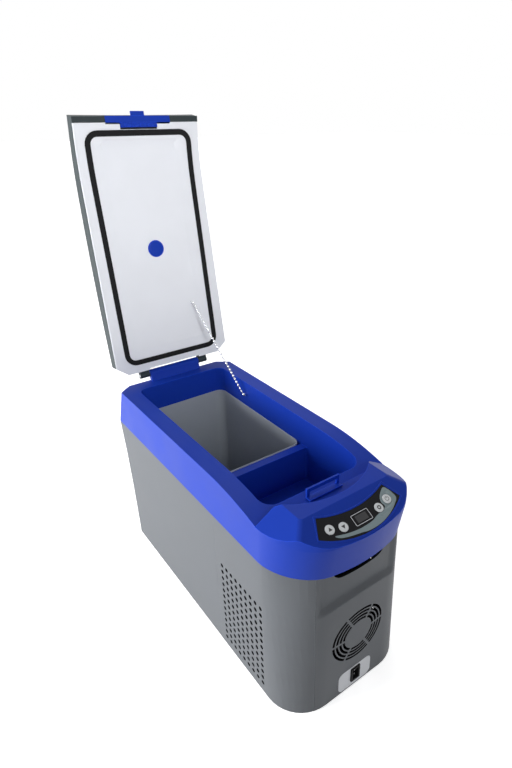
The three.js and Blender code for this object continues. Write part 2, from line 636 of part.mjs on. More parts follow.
// A button is a cap with a wider foot under the collar wall.
const BUTTON_PROUD = 0.9;
const BUTTON_FOOT_TOP = -4;
const BUTTON_FOOT_LOW = -5.2;
function button(x, s) {
  const profile = [[0, BUTTON_FOOT_LOW], [BUTTON_RADIUS + 1.3, BUTTON_FOOT_LOW],
    [BUTTON_RADIUS + 1.3, BUTTON_FOOT_TOP], [BUTTON_RADIUS, BUTTON_FOOT_TOP],
    [BUTTON_RADIUS, BUTTON_PROUD - 0.4], [BUTTON_RADIUS - 0.5, BUTTON_PROUD], [0, BUTTON_PROUD]];
  const lathe = new THREE.LatheGeometry(profile.map(([r, z]) => new THREE.Vector2(r, z)), 20);
  lathe.rotateX(Math.PI / 2);
  lathe.translate(x, -s, 0);
  return onConsole(toSolid(lathe));
}

// Circuit board hung from the console wall on four posts.
const BOARD_TOP = BUTTON_FOOT_LOW - BUTTON_TRAVEL - 0.5;
function consoleBoard() {
  const board = raised(roundedRect(-62, 62, -42, -12, 3, 3), BOARD_TOP - 1.6, BOARD_TOP);
  const posts = [-40, 42].flatMap((x) => [-40, -16].map((y) => {
    const top = -WALL - GAP;
    return rod(2.2, top - BOARD_TOP + 0.4, 8, 'z', x, y, (top + BOARD_TOP - 0.4) / 2);
  }));
  const screen = block(-DISPLAY_HALF + 3, DISPLAY_HALF - 3, DISPLAY_LOW + 3, DISPLAY_TOP - 3,
    BOARD_TOP - 0.4, -BEZEL_DEPTH - GAP);
  return onConsole(joined(board, ...posts, screen));
}

// ---- Catch, hinge block and pin --------------------------------------------
const CATCH_WINDOW_LOW_Z = 323.8;
const CATCH_WINDOW_TOP_Z = 332;
function lidCatch() {
  const base = SHOULDER_Z - shoulderDrop(CATCH_Y + CATCH_THICK / 2) + GAP;
  const tab = block(-CATCH_HALF_WIDTH, CATCH_HALF_WIDTH,
    CATCH_Y - CATCH_THICK / 2, CATCH_Y + CATCH_THICK / 2, base, CATCH_TOP_Z);
  const footPlate = block(-CATCH_HALF_WIDTH, CATCH_HALF_WIDTH, CATCH_Y - 9, CATCH_Y, base, base + 2);
  const window = block(-CATCH_HALF_WIDTH + 5, CATCH_HALF_WIDTH - 5, CATCH_Y - 20, CATCH_Y + 20,
    CATCH_WINDOW_LOW_Z, CATCH_WINDOW_TOP_Z);
  return cut(joined(tab, footPlate), window);
}

function hingeBlock() {
  const z0 = SHOULDER_Z + GAP;
  const shape = new THREE.Shape();
  shape.moveTo(AXIS_Y - 11.5, z0);
  shape.lineTo(AXIS_Y - HINGE_BARREL, AXIS_Z - 1);
  shape.absarc(AXIS_Y, AXIS_Z, HINGE_BARREL, Math.PI, -0.3, true);
  shape.lineTo(AXIS_Y - 2, z0);
  return cut(swept(shape, -HINGE_HALF_WIDTH, HINGE_HALF_WIDTH, 6),
    rod(PIN_RADIUS + GAP, 300, 16, 'x', 0, AXIS_Y, AXIS_Z));
}

const hingePin = () => rod(PIN_RADIUS, 2 * KNUCKLE_END, 16, 'x', 0, AXIS_Y, AXIS_Z);

// ---- Lid, drawn closed -----------------------------------------------------
const LID_FACE_Z = SHOULDER_Z + LID_SEAT;
const LID_MID_Y = (LID_REAR_Y + LID_FRONT_Y) / 2;
const LID_HALF_LENGTH = (LID_REAR_Y - LID_FRONT_Y) / 2;
const lidFaceZ = (y) => LID_FACE_Z - shoulderDrop(y);

// Stations along the part of the lid that bends down with the shoulder.
const LID_BEND_STEPS = 6;
const LID_BEND_ROWS = Array.from({ length: LID_BEND_STEPS },
  (_, i) => LID_FRONT_Y + (SHOULDER_DROP_Y - LID_FRONT_Y) * (i + 1) / LID_BEND_STEPS);

function lidHalfWidth(y, inset) {
  const along = (y - LID_FRONT_Y) / (LID_REAR_Y - LID_FRONT_Y);
  const side = LID_FRONT_HALF_WIDTH + (LID_REAR_HALF_WIDTH - LID_FRONT_HALF_WIDTH) * along;
  const chamfer = LID_CHAMFER_WIDTH * ramp((y - LID_CHAMFER_Y) / (LID_REAR_Y - LID_CHAMFER_Y));
  return side - chamfer - inset;
}

function lidTopZ(x, y) {
  const swell = LID_SWELL * (1 - ((y - LID_MID_Y) / LID_HALF_LENGTH) ** 2);
  const crown = LID_CROWN * (1 - (x / LID_REAR_HALF_WIDTH) ** 2);
  return lidFaceZ(y) + LID_EDGE + swell + crown;
}

// A lid-shaped layer between y0 and y1, from low(x, y) to high(x, y).
function lidLayer(inset, y0, y1, low, high, nx = 8, ny = 16, slant = 0) {
  const bendRow = Math.min(LID_CHAMFER_Y, y1 - 1);
  return quilted(nx, ny, (u, v, w) => {
    const rows = v * ny;
    const bent = rows <= ny - 1;
    const y = bent ? y0 + (bendRow - y0) * rows / (ny - 1) : bendRow + (y1 - bendRow) * (rows - ny + 1);
    const x = u * lidHalfWidth(y, inset);
    return new THREE.Vector3(x, v === 0 && w ? y - slant : y, w ? high(x, y) : low(x, y));
  });
}

const LINER_FRONT_Y = LID_FRONT_Y + LINER_LIP;
const GASKET_FRONT_Y = LINER_FRONT_Y + GASKET_FRONT_MARGIN;
const shellFloorZ = (x, y) => lidFaceZ(y) + LID_LINER_THICK + GAP;
const HINGE_CLEAR = HINGE_HALF_WIDTH + 1.3;
const hingeNotch = () => block(-HINGE_CLEAR, HINGE_CLEAR, LID_REAR_Y - 3.5, LID_REAR_Y + 30, 300, 420);
const LATCH_AXIS_Y = LID_FRONT_Y + 6;
const LATCH_AXIS_Z = 335;
const LATCH_ROOM = 2.4;
const LATCH_TOP_Z = 339;
const TAB_ROOM_TOP_Z = 337;
const latchRoom = (grow) => joined(
  block(-LATCH_HALF_WIDTH - LATCH_GAP - grow, LATCH_HALF_WIDTH + LATCH_GAP + grow,
    LID_FRONT_Y - 20, LINER_FRONT_Y + LATCH_ROOM + grow, 300, LATCH_TOP_Z + 1 + grow),
  block(-LATCH_TAB_HALF_WIDTH - LATCH_GAP - grow, LATCH_TAB_HALF_WIDTH + LATCH_GAP + grow,
    LID_FRONT_Y - 20, GASKET_FRONT_Y - 1 + grow, 300, TAB_ROOM_TOP_Z + grow));

function lidShell() {
  const outer = joined(
    lidLayer(0, LID_FRONT_Y, LID_REAR_Y, shellFloorZ, lidTopZ, 8, 16, LID_FRONT_SLANT),
    lidLayer(0, LID_FRONT_Y, LINER_FRONT_Y - GAP, (x, y) => lidFaceZ(y), (x, y) => lidTopZ(x, y) - 8, 4, 3));
  const inner = lidLayer(LID_WALL, LINER_FRONT_Y, LID_REAR_Y - LID_WALL, (x, y) => lidFaceZ(y) - 5,
    (x, y) => lidTopZ(x, y) - LID_WALL);
  const pocketWalls = latchRoom(LID_WALL).intersect(outer);
  const knuckleWidth = KNUCKLE_END - HINGE_CLEAR;
  const knuckles = [-1, 1].map((side) => {
    const x = side * (HINGE_CLEAR + KNUCKLE_END) / 2;
    const arm = block(x - knuckleWidth / 2, x + knuckleWidth / 2,
      LID_REAR_Y - 2, AXIS_Y, AXIS_Z - ARM_HALF_HEIGHT, AXIS_Z + ARM_HALF_HEIGHT);
    return joined(rod(KNUCKLE_RADIUS, knuckleWidth, 20, 'x', x, AXIS_Y, AXIS_Z), arm);
  });
  const pinHole = rod(PIN_RADIUS + GAP, 300, 16, 'x', 0, AXIS_Y, AXIS_Z);
  const latchHole = latchRod(LATCH_PIN_RADIUS + GAP, LATCH_PIN_HALF);
  const shell = joined(cut(outer, inner, hingeNotch()), pocketWalls, ...knuckles);
  return cut(shell, pinHole, latchRoom(0), latchHole);
}

const LATCH_PIN_RADIUS = 1.5;
const LATCH_PIN_HALF = LATCH_HALF_WIDTH + LATCH_GAP + 2;
const latchRod = (radius, half) => rod(radius, 2 * half, 12, 'x', 0, LATCH_AXIS_Y, LATCH_AXIS_Z);
const latchPin = () => latchRod(LATCH_PIN_RADIUS, LATCH_PIN_HALF - GAP);

// Depth of the shallow dish in the white liner.
function dish(x, y) {
  const run = 7;
  const side = ramp((DISH_HALF_WIDTH + run - Math.abs(x)) / run);
  const length = Math.min(ramp((DISH_REAR_Y + run - y) / run), ramp((y - DISH_FRONT_Y + run) / run));
  return DISH_DEPTH * Math.min(side, length);
}

// Rows and columns of the liner are set at the dish edges, so its walls stay crisp.
function lidLinerLayer(lift, thick) {
  const run = 7;
  const xs = [-1, -DISH_HALF_WIDTH - run, -DISH_HALF_WIDTH, 0, DISH_HALF_WIDTH, DISH_HALF_WIDTH + run, 1];
  const bent = LID_BEND_ROWS.filter((y) => y > DISH_FRONT_Y + 1);
  const ys = [LINER_FRONT_Y, DISH_FRONT_Y - run, DISH_FRONT_Y, ...bent, (SHOULDER_DROP_Y + DISH_REAR_Y) / 2,
    DISH_REAR_Y, DISH_REAR_Y + run, LID_CHAMFER_Y, LID_REAR_Y - 0.8];
  return quilted(xs.length - 1, ys.length - 1, (u, v, w) => {
    const y = ys[Math.round(v * (ys.length - 1))];
    const half = lidHalfWidth(y, 0.8);
    const column = Math.round((u + 1) / 2 * (xs.length - 1));
    const x = Math.abs(xs[column]) === 1 ? xs[column] * half : xs[column];
    return new THREE.Vector3(x, y, lidFaceZ(y) + dish(x, y) + lift + thick * w);
  });
}

const gasketShape = (inset) => roundedRect(-GASKET_OUTER + inset, GASKET_OUTER - inset,
  GASKET_FRONT_Y + inset, GASKET_REAR_Y - inset, GASKET_RADIUS - inset, GASKET_RADIUS - inset);
const GASKET_GROOVE = 1.4;

// A ring that follows the bent lid face; low and high are measured from that face.
// It is cut into slabs at the lid's rows, and each slab is sheared onto the face.
function gasketRing(grow, low, high) {
  const shape = gasketShape(-grow);
  shape.holes.push(gasketShape(GASKET_WIDTH + grow));
  const ring = raised(shape, low, high);
  const rows = [LID_FRONT_Y, ...LID_BEND_ROWS, LID_REAR_Y];
  const slabs = rows.slice(1).map((y1, i) => {
    const y0 = rows[i];
    const slope = (lidFaceZ(y1) - lidFaceZ(y0)) / (y1 - y0);
    const lift = lidFaceZ(y0) - slope * y0;
    const shear = new THREE.Matrix4().set(1, 0, 0, 0, 0, 1, 0, 0, 0, slope, 1, lift, 0, 0, 0, 1);
    return ring.intersect(block(-200, 200, y0, y1, -50, 50)).transform(shear.toArray());
  });
  return wasm.Manifold.union(slabs);
}

const lidGasket = () => gasketRing(0, -GASKET_PROUD, GASKET_GROOVE - GAP);

function lidLiner() {
  const sheet = lidLinerLayer(0, LID_LINER_THICK);
  return cut(sheet, gasketRing(GAP, -5, GASKET_GROOVE), hingeNotch(), latchRoom(0));
}

function lidFoam() {
  const inset = LID_WALL + GAP;
  const body = lidLayer(inset, LINER_FRONT_Y + LATCH_ROOM + LID_WALL, LID_REAR_Y - inset,
    (x, y) => shellFloorZ(x, y) + DISH_DEPTH, (x, y) => lidTopZ(x, y) - inset);
  const hinge = block(-HINGE_CLEAR - 1, HINGE_CLEAR + 1, LID_REAR_Y - 5, LID_REAR_Y + 10, 300, 420);
  return cut(body, latchRoom(LID_WALL + GAP), hinge);
}

function lidBadge() {
  const z = lidFaceZ(BADGE_Y) + DISH_DEPTH;
  return rod(BADGE_RADIUS, 1, 32, 'z', 0, BADGE_Y, z - GAP - 0.5);
}

// Latch: a front plate with a hook for the catch window, and a ridged finger tab.
const HOOK_TIP_Y = CATCH_Y + CATCH_THICK / 2 - HOOK_BITE;
const HOOK_THICK = 3;
function latch() {
  const lowZ = lidFaceZ(LID_FRONT_Y) + 0.6;
  const plate = block(-LATCH_HALF_WIDTH, LATCH_HALF_WIDTH,
    LID_FRONT_Y - 0.6, LINER_FRONT_Y, lowZ, LATCH_TOP_Z);
  const tab = block(-LATCH_TAB_HALF_WIDTH, LATCH_TAB_HALF_WIDTH, LINER_FRONT_Y - 2, GASKET_FRONT_Y - 4,
    lowZ + 0.6, lowZ + 4.6);
  const ridges = [-1.5, -0.5, 0.5, 1.5].map((k) => block(k * 14 - 5, k * 14 + 5,
    GASKET_FRONT_Y - 9, GASKET_FRONT_Y - 5.5, lowZ - 0.4, lowZ + 1));
  const hookZ = (CATCH_WINDOW_LOW_Z + CATCH_WINDOW_TOP_Z) / 2;
  const hook = block(-HOOK_HALF_WIDTH, HOOK_HALF_WIDTH, HOOK_TIP_Y, LID_FRONT_Y,
    hookZ - HOOK_THICK / 2, hookZ + HOOK_THICK / 2);
  const hole = rod(LATCH_PIN_RADIUS + GAP, 300, 12, 'x', 0, LATCH_AXIS_Y, LATCH_AXIS_Z);
  return cut(joined(plate, tab, hook, ...ridges), hole);
}

// ---- Stay chain ------------------------------------------------------------
const EYELET_RADIUS = 3.5;
const CABINET_EYELET = new THREE.Vector3(MOUTH_HALF_WIDTH - GAP, 158, 311.6);
const LID_EYELET = new THREE.Vector3(55.7, 161.5, LID_FACE_Z + DISH_DEPTH - GAP);
const EYELET_REACH = 4.5;
const cabinetEyelet = () => rod(EYELET_RADIUS, EYELET_REACH, 12, 'x',
  CABINET_EYELET.x - EYELET_REACH / 2, CABINET_EYELET.y, CABINET_EYELET.z);
const lidEyelet = () => rod(EYELET_RADIUS, EYELET_REACH, 12, 'z',
  LID_EYELET.x, LID_EYELET.y, LID_EYELET.z - EYELET_REACH / 2);

function openedLid(point) {
  return point.clone().sub(new THREE.Vector3(0, AXIS_Y, AXIS_Z))
    .applyAxisAngle(new THREE.Vector3(1, 0, 0), -LID_OPEN)
    .add(new THREE.Vector3(0, AXIS_Y, AXIS_Z));
}

function stayChain() {
  const off = EYELET_REACH + CHAIN_DIAMETER / 2 + GAP;
  const start = CABINET_EYELET.clone().add(new THREE.Vector3(-off, 0, 0));
  const end = openedLid(LID_EYELET.clone().add(new THREE.Vector3(0, 0, -off)));
  const middle = start.clone().lerp(end, 0.5).add(new THREE.Vector3(0, -CHAIN_SAG / 2, -CHAIN_SAG));
  const path = new THREE.QuadraticBezierCurve3(start, middle, end);
  return toSolid(new THREE.ExtrudeGeometry(disc(0, 0, CHAIN_DIAMETER / 2), {
    steps: 24, curveSegments: 4, extrudePath: path, bevelEnabled: false,
  }));
}

// ---- Machinery -------------------------------------------------------------
const FLOOR_Z = BASE_TOP_Z + GAP;
const COMPRESSOR_X = -52;
const COMPRESSOR_Y = -125;
const COMPRESSOR_RADIUS = 46;
const COMPRESSOR_TOP_Z = 130;
const GROMMET_HEIGHT = 8;
const GROMMET_SPREAD = 38;

function compressor() {
  const z0 = FLOOR_Z + GROMMET_HEIGHT + GAP;
  const feet = block(COMPRESSOR_X - GROMMET_SPREAD - 8, COMPRESSOR_X + GROMMET_SPREAD + 8,
    COMPRESSOR_Y - GROMMET_SPREAD - 8, COMPRESSOR_Y + GROMMET_SPREAD + 8, z0, z0 + 3);
  const high = COMPRESSOR_TOP_Z - z0;
  const profile = [[0, 1], [0.7, 1], [0.9, 0.3 * high], [1, 0.34 * high], [1, 0.62 * high],
    [0.93, 0.82 * high], [0.66, 0.95 * high], [0, high]];
  const can = new THREE.LatheGeometry(
    profile.map(([r, z]) => new THREE.Vector2(r * COMPRESSOR_RADIUS, z)), 24);
  can.rotateX(Math.PI / 2);
  can.translate(COMPRESSOR_X, COMPRESSOR_Y, z0);
  return joined(toSolid(can), feet);
}

const grommetPlaces = [-1, 1].flatMap((sx) => [-1, 1].map((sy) => [
  COMPRESSOR_X + sx * GROMMET_SPREAD, COMPRESSOR_Y + sy * GROMMET_SPREAD]));
const grommet = ([x, y]) => rod(6, GROMMET_HEIGHT, 12, 'z', x, y, FLOOR_Z + GROMMET_HEIGHT / 2);

const CONDENSER_Y = -206;
const CONDENSER_DEPTH = 16;
const CONDENSER_HALF = 64;
const CONDENSER_TOP_Z = 190;
function condenser() {
  const y0 = CONDENSER_Y - CONDENSER_DEPTH / 2;
  const y1 = CONDENSER_Y + CONDENSER_DEPTH / 2;
  const plates = [-1, 1].map((side) => block(side * CONDENSER_HALF - 1.5, side * CONDENSER_HALF + 1.5,
    y0, y1, FLOOR_Z, CONDENSER_TOP_Z));
  const count = 4;
  const pitch = (CONDENSER_TOP_Z - FLOOR_Z - 20) / (count - 1);
  const runs = Array.from({ length: count }, (_, i) => rod(3, 2 * CONDENSER_HALF, 6, 'x',
    0, CONDENSER_Y, FLOOR_Z + 10 + i * pitch));
  const finCount = 9;
  const fins = Array.from({ length: finCount }, (_, i) => {
    const x = CONDENSER_HALF * (2 * (i + 1) / (finCount + 1) - 1);
    return block(x - 0.5, x + 0.5, y0, y1, FLOOR_Z + 4, CONDENSER_TOP_Z - 4);
  });
  return joined(...plates, ...runs, ...fins);
}

const FAN_BACK_Y = CONDENSER_Y - CONDENSER_DEPTH / 2 - GAP;
const FAN_FRAME_DEPTH = 26;
const FAN_FRAME_HALF = 52;
const FAN_RADIUS = 46;
const FAN_HUB = 17;
function fanFrame() {
  const y0 = FAN_BACK_Y - FAN_FRAME_DEPTH;
  const frame = driven(roundedRect(-FAN_FRAME_HALF, FAN_FRAME_HALF, FAN_Z - FAN_FRAME_HALF,
    FAN_Z + FAN_FRAME_HALF, 6, 6), y0, FAN_BACK_Y, 2);
  const tunnel = rod(FAN_RADIUS + 1.5, 100, 36, 'y', 0, FAN_BACK_Y, FAN_Z);
  const struts = [0, 1, 2].map((i) => {
    const bar = new THREE.BoxGeometry(2 * FAN_RADIUS + 6, 3, 5);
    bar.rotateY(i * Math.PI / 3);
    bar.translate(0, FAN_BACK_Y - 1.5, FAN_Z);
    return toSolid(bar);
  });
  const motor = rod(FAN_HUB, 6, 24, 'y', 0, FAN_BACK_Y - 3, FAN_Z);
  const shaft = rod(2, FAN_FRAME_DEPTH - 8, 12, 'y', 0, FAN_BACK_Y - (FAN_FRAME_DEPTH - 8) / 2, FAN_Z);
  return joined(cut(frame, tunnel), ...struts, motor, shaft);
}

function fanRotor() {
  const back = FAN_BACK_Y - 6 - 2 * GAP;
  const front = FAN_BACK_Y - FAN_FRAME_DEPTH + 2;
  const hub = rod(FAN_HUB, back - front, 24, 'y', 0, (back + front) / 2, FAN_Z);
  const blades = Array.from({ length: 7 }, (_, i) => {
    const blade = new THREE.BoxGeometry(FAN_RADIUS - FAN_HUB + 2, 1.6, 15);
    blade.rotateX(0.6);
    blade.translate((FAN_RADIUS + FAN_HUB - 2) / 2, (back + front) / 2, 0);
    blade.rotateY(i * 2 * Math.PI / 7);
    blade.translate(0, 0, FAN_Z);
    return toSolid(blade);
  });
  const bore = rod(2 + GAP, 60, 12, 'y', 0, FAN_BACK_Y, FAN_Z);
  return cut(joined(hub, ...blades), bore);
}

const DRIVE_X = 66;
const DRIVE_Y = -130;
const DRIVE_HALF = 35;
const DRIVE_HEIGHT = 30;
const DRIVE_FRONT_Y = DRIVE_Y - DRIVE_HALF;
function driveBox() {
  return block(DRIVE_X - DRIVE_HALF + 1, DRIVE_X + DRIVE_HALF - 1,
    DRIVE_FRONT_Y, DRIVE_Y + DRIVE_HALF, FLOOR_Z, FLOOR_Z + DRIVE_HEIGHT);
}

const DRIER_X = 20;
const DRIER_Y = -88;
function filterDrier() {
  const profile = [[0, 0], [3, 0], [3, 8], [9, 16], [9, 66], [3, 74], [3, 82], [0, 82]];
  const lathe = new THREE.LatheGeometry(profile.map(([r, z]) => new THREE.Vector2(r, z)), 14);
  lathe.rotateX(Math.PI / 2);
  lathe.translate(DRIER_X, DRIER_Y, FLOOR_Z);
  return toSolid(lathe);
}

// A bent pipe or loom through a few corner points.
function pipe(points, radius, steps) {
  const corners = points.map(([x, y, z]) => new THREE.Vector3(x, y, z));
  const path = new THREE.CatmullRomCurve3(corners, false, 'centripetal');
  return toSolid(new THREE.ExtrudeGeometry(disc(0, 0, radius), {
    steps, curveSegments: 3, extrudePath: path, bevelEnabled: false,
  }));
}

const PIPE_RADIUS = 3;
const LOOM_RADIUS = 2.5;
const STUB = 5; // straight run out of a fitting
const dischargeStart = COMPRESSOR_X + COMPRESSOR_RADIUS + 2 * GAP;
const dischargePipe = () => pipe([
  [dischargeStart, COMPRESSOR_Y, 80], [dischargeStart + STUB, COMPRESSOR_Y, 80],
  [20, COMPRESSOR_Y - 20, 90], [20, CONDENSER_Y + CONDENSER_DEPTH / 2 + STUB + GAP, 150],
  [20, CONDENSER_Y + CONDENSER_DEPTH / 2 + GAP, 150]], PIPE_RADIUS, 16);
const suctionStart = COMPRESSOR_Y + COMPRESSOR_RADIUS + 2 * GAP;
const suctionPipe = () => pipe([
  [COMPRESSOR_X, suctionStart, 80], [COMPRESSOR_X, suctionStart + 2, 80],
  [COMPRESSOR_X, BAY_Y - PIPE_RADIUS - 2, 96], [COMPRESSOR_X, BAY_Y - PIPE_RADIUS - GAP, 150],
  [COMPRESSOR_X, BAY_Y - PIPE_RADIUS - GAP, TRAY_BOTTOM_Z - 4]], PIPE_RADIUS, 16);
const powerLoom = () => pipe([
  [0, INLET_BACK_Y + GAP, INLET_Z], [0, INLET_BACK_Y + STUB, INLET_Z], [40, FRONT_Y + 36, FLOOR_Z + 6],
  [86, CONDENSER_Y - 4, FLOOR_Z + 5], [DRIVE_X + 14, DRIVE_FRONT_Y - STUB, FLOOR_Z + DRIVE_HEIGHT / 2],
  [DRIVE_X + 14, DRIVE_FRONT_Y - GAP, FLOOR_Z + DRIVE_HEIGHT / 2]], LOOM_RADIUS, 28);

// ---- Assembly --------------------------------------------------------------
place(fridge, 'cabinet_shell', cabinetShell(), GREY());
place(fridge, 'insulation_foam', foam(), FOAM());
place(fridge, 'evaporator_sheet', evaporator(), METAL());
place(fridge, 'inner_liner', liner(), paint(0x8f949b, 0.3, 0.3));
place(fridge, 'machine_housing', machineHousing(), GREY());
place(fridge, 'front_panel', frontPanel(), GREY());
place(fridge, 'grip_pocket', gripPocket(), BLACK());
place(fridge, 'top_collar', topCollar(), BLUE());
for (const spot of footPlaces()) place(fridge, spot.name, foot(spot), BLACK());

place(fridge, 'socket_plate', socketPlate(), paint(0xd8dade, 0.4));
place(fridge, 'power_inlet', powerInlet(), BLACK());
place(fridge, 'inlet_pin_upper', inletPin(INLET_Z + PIN_SPREAD), METAL());
place(fridge, 'inlet_pin_lower', inletPin(INLET_Z - PIN_SPREAD), METAL());

place(fridge, 'compressor', compressor(), BLACK());
grommetPlaces.forEach((spot, i) => place(fridge, `compressor_grommet_${i + 1}`, grommet(spot), BLACK()));
place(fridge, 'condenser', condenser(), METAL());
place(fridge, 'fan_frame', fanFrame(), BLACK());
place(fridge, 'fan_rotor', fanRotor(), BLACK());
place(fridge, 'drive_box', driveBox(), DARK());
place(fridge, 'filter_drier', filterDrier(), COPPER());
place(fridge, 'discharge_pipe', dischargePipe(), COPPER());
place(fridge, 'suction_pipe', suctionPipe(), COPPER());
place(fridge, 'power_loom', powerLoom(), BLACK());

place(fridge, 'control_bezel', controlBezel(), BLACK());
place(fridge, 'display_window', displayWindow(), paint(0x140f0c, 0.1));
place(fridge, 'console_board', consoleBoard(), paint(0x1e5c38, 0.5));
for (const [name, x, s] of BUTTON_PLACES) place(fridge, `button_${name}`, button(x, s), WHITE());

place(fridge, 'lid_catch', lidCatch(), BLUE());
place(fridge, 'hinge_block', hingeBlock(), BLUE());
place(fridge, 'hinge_pin', hingePin(), METAL());
place(fridge, 'chain_eyelet_cabinet', cabinetEyelet(), METAL());
place(fridge, 'stay_chain', stayChain(), METAL());

// The lid turns about the hinge axis; its pieces are drawn in their closed place.
const lid = new THREE.Group();
lid.position.set(0, AXIS_Y, AXIS_Z);
lid.rotation.x = -LID_OPEN;
const closed = new THREE.Group();
closed.position.set(0, -AXIS_Y, -AXIS_Z);
lid.add(closed);
fridge.add(lid);
place(closed, 'lid_shell', lidShell(), DARK());
place(closed, 'lid_foam', lidFoam(), FOAM());
place(closed, 'lid_liner', lidLiner(), WHITE());
place(closed, 'lid_gasket', lidGasket(), BLACK());
place(closed, 'lid_badge', lidBadge(), BLUE());
place(closed, 'chain_eyelet_lid', lidEyelet(), METAL());
place(closed, 'lid_latch', latch(), BLUE());
place(closed, 'latch_pin', latchPin(), METAL());

export default fridge;
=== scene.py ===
"""Portable compressor cooler: studio scene with moulded shells, lid, console and chain.

Lengths in the helper calls are millimetres, turned into metres by mm() and MM.
"""
import json
import math

import bmesh
import bpy
from mathutils import Matrix, Vector


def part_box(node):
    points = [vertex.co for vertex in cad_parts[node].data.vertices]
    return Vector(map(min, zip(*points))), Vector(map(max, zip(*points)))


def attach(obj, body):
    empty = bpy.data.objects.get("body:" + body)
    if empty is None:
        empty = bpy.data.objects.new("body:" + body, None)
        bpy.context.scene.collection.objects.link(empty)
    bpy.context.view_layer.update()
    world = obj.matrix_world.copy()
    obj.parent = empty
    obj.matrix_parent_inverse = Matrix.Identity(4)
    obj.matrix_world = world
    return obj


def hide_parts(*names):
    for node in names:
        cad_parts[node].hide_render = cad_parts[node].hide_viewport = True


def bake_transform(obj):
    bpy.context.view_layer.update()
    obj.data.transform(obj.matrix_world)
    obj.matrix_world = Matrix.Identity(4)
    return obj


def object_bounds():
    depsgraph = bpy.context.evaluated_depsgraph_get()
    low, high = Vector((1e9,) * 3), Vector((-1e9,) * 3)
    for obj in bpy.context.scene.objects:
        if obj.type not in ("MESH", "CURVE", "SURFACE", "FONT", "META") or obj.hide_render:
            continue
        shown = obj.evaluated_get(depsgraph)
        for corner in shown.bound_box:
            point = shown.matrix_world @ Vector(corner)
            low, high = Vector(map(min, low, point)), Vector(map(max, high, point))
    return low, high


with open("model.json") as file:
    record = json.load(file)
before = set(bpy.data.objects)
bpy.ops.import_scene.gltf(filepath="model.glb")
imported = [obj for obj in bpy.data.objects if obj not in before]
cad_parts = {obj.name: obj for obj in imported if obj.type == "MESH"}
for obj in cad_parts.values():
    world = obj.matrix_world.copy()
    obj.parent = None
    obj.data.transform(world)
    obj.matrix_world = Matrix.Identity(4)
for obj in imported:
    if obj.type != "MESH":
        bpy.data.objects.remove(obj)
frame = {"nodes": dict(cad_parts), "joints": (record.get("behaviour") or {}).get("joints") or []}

bl_info = {
    "name": "Portable Compressor Cooler",
    "version": (1, 0, 0),
    "blender": (4, 5, 0),
    "location": "View3D > Sidebar > Cooler",
    "description": "Builds a narrow chest cooler with a lift-up lid and a studio around it",
    "category": "Object",
}

CAD_BOUNDS = [list(map(float, corner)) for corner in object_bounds()]
NODES = frame["nodes"]
JOINTS = {joint["name"]: joint for joint in frame["joints"]}
MM = 0.001

# Sizes that follow the frame.
HALF_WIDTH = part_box("machine_housing")[1][0] / MM
SEAM_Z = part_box("front_panel")[1][2] / MM
CONSOLE_TILT = math.radians(27.3)
CONSOLE_ORIGIN = Vector((0.0, -235.73, 338.86))
LID_TURN = math.radians(-98.0)
HINGE = Vector(JOINTS["lid_hinge"]["pos_m"]) / MM


def mm(x, y, z):
    """A point given in millimetres, in metres."""
    return Vector((x, y, z)) * MM


def ramp(value):
    """Zero to one, held at both ends."""
    return min(1.0, max(0.0, value))


CONSOLE = Matrix.Translation(CONSOLE_ORIGIN) @ Matrix.Rotation(CONSOLE_TILT, 4, "X")
OPENED = Matrix.Translation(HINGE) @ Matrix.Rotation(LID_TURN, 4, "X") @ Matrix.Translation(-HINGE)


# ---- Settings ----------------------------------------------------------------
def size_setting(label, about, value, low=0.0):
    """A length, given in millimetres and kept in metres, that the sidebar shows."""
    return bpy.props.FloatProperty(name=label, description=about, default=value * MM, min=low * MM,
                                   subtype="DISTANCE", unit="LENGTH", precision=5)


def colour_setting(label, about, value):
    """A surface colour that the sidebar shows."""
    return bpy.props.FloatVectorProperty(
        name=label, description=about, default=value, subtype="COLOR", size=3, min=0.0, max=1.0)


def size(name):
    """A size from the sidebar, in millimetres."""
    return getattr(bpy.context.scene.cooler_sizes, name) / MM


class CoolerSizes(bpy.types.PropertyGroup):
    """Sizes of the visible details."""
    edge_round: size_setting("Edge round", "Radius on the edges of the moulded shells", 1.2)
    trim_round: size_setting("Trim round", "Radius on the edges of the small trim", 0.45)
    vent_diameter: size_setting("Vent diameter", "Round holes in the sides of the bay", 7.3, 1.0)
    bead_diameter: size_setting("Bead diameter", "Balls of the lid's stay chain", 5.0, 1.0)
    bead_pitch: size_setting("Bead pitch", "Distance from ball to ball along the chain", 7.2, 2.0)
    grain_height: size_setting("Grain height", "Depth of the texture on the matt shells", 0.05)


class CoolerColours(bpy.types.PropertyGroup):
    """Colours of the finishes."""
    shell: colour_setting("Shell", "Matt cabinet plastic", (0.118, 0.127, 0.139))
    collar: colour_setting("Collar", "Satin collar plastic", (0.008, 0.040, 0.38))
    lid: colour_setting("Lid", "Dark outer skin of the lid", (0.030, 0.040, 0.044))
    liner: colour_setting("Lid liner", "Gloss inner skin of the lid", (0.83, 0.85, 0.90))
    bay: colour_setting("Food bay", "Satin liner of the food bay", (0.36, 0.39, 0.43))
    rubber: colour_setting("Rubber", "Gasket and feet", (0.012, 0.012, 0.013))
    bezel: colour_setting("Bezel", "Gloss console plate", (0.008, 0.008, 0.010))
    accent: colour_setting("Accent", "Pale sweep on the console plate", (0.22, 0.29, 0.31))
    plate: colour_setting("Plate", "Pale plate round the inlet", (0.74, 0.76, 0.80))
    button: colour_setting("Button", "Caps of the buttons", (0.72, 0.75, 0.77))
    metal: colour_setting("Bright metal", "Chain, eyelets and pins", (0.76, 0.77, 0.79))
    copper: colour_setting("Copper", "Cooling pipes", (0.62, 0.27, 0.15))


# ---- Node groups -------------------------------------------------------------
def link(tree, source, target):
    """Joins two sockets."""
    tree.links.new(source, target)


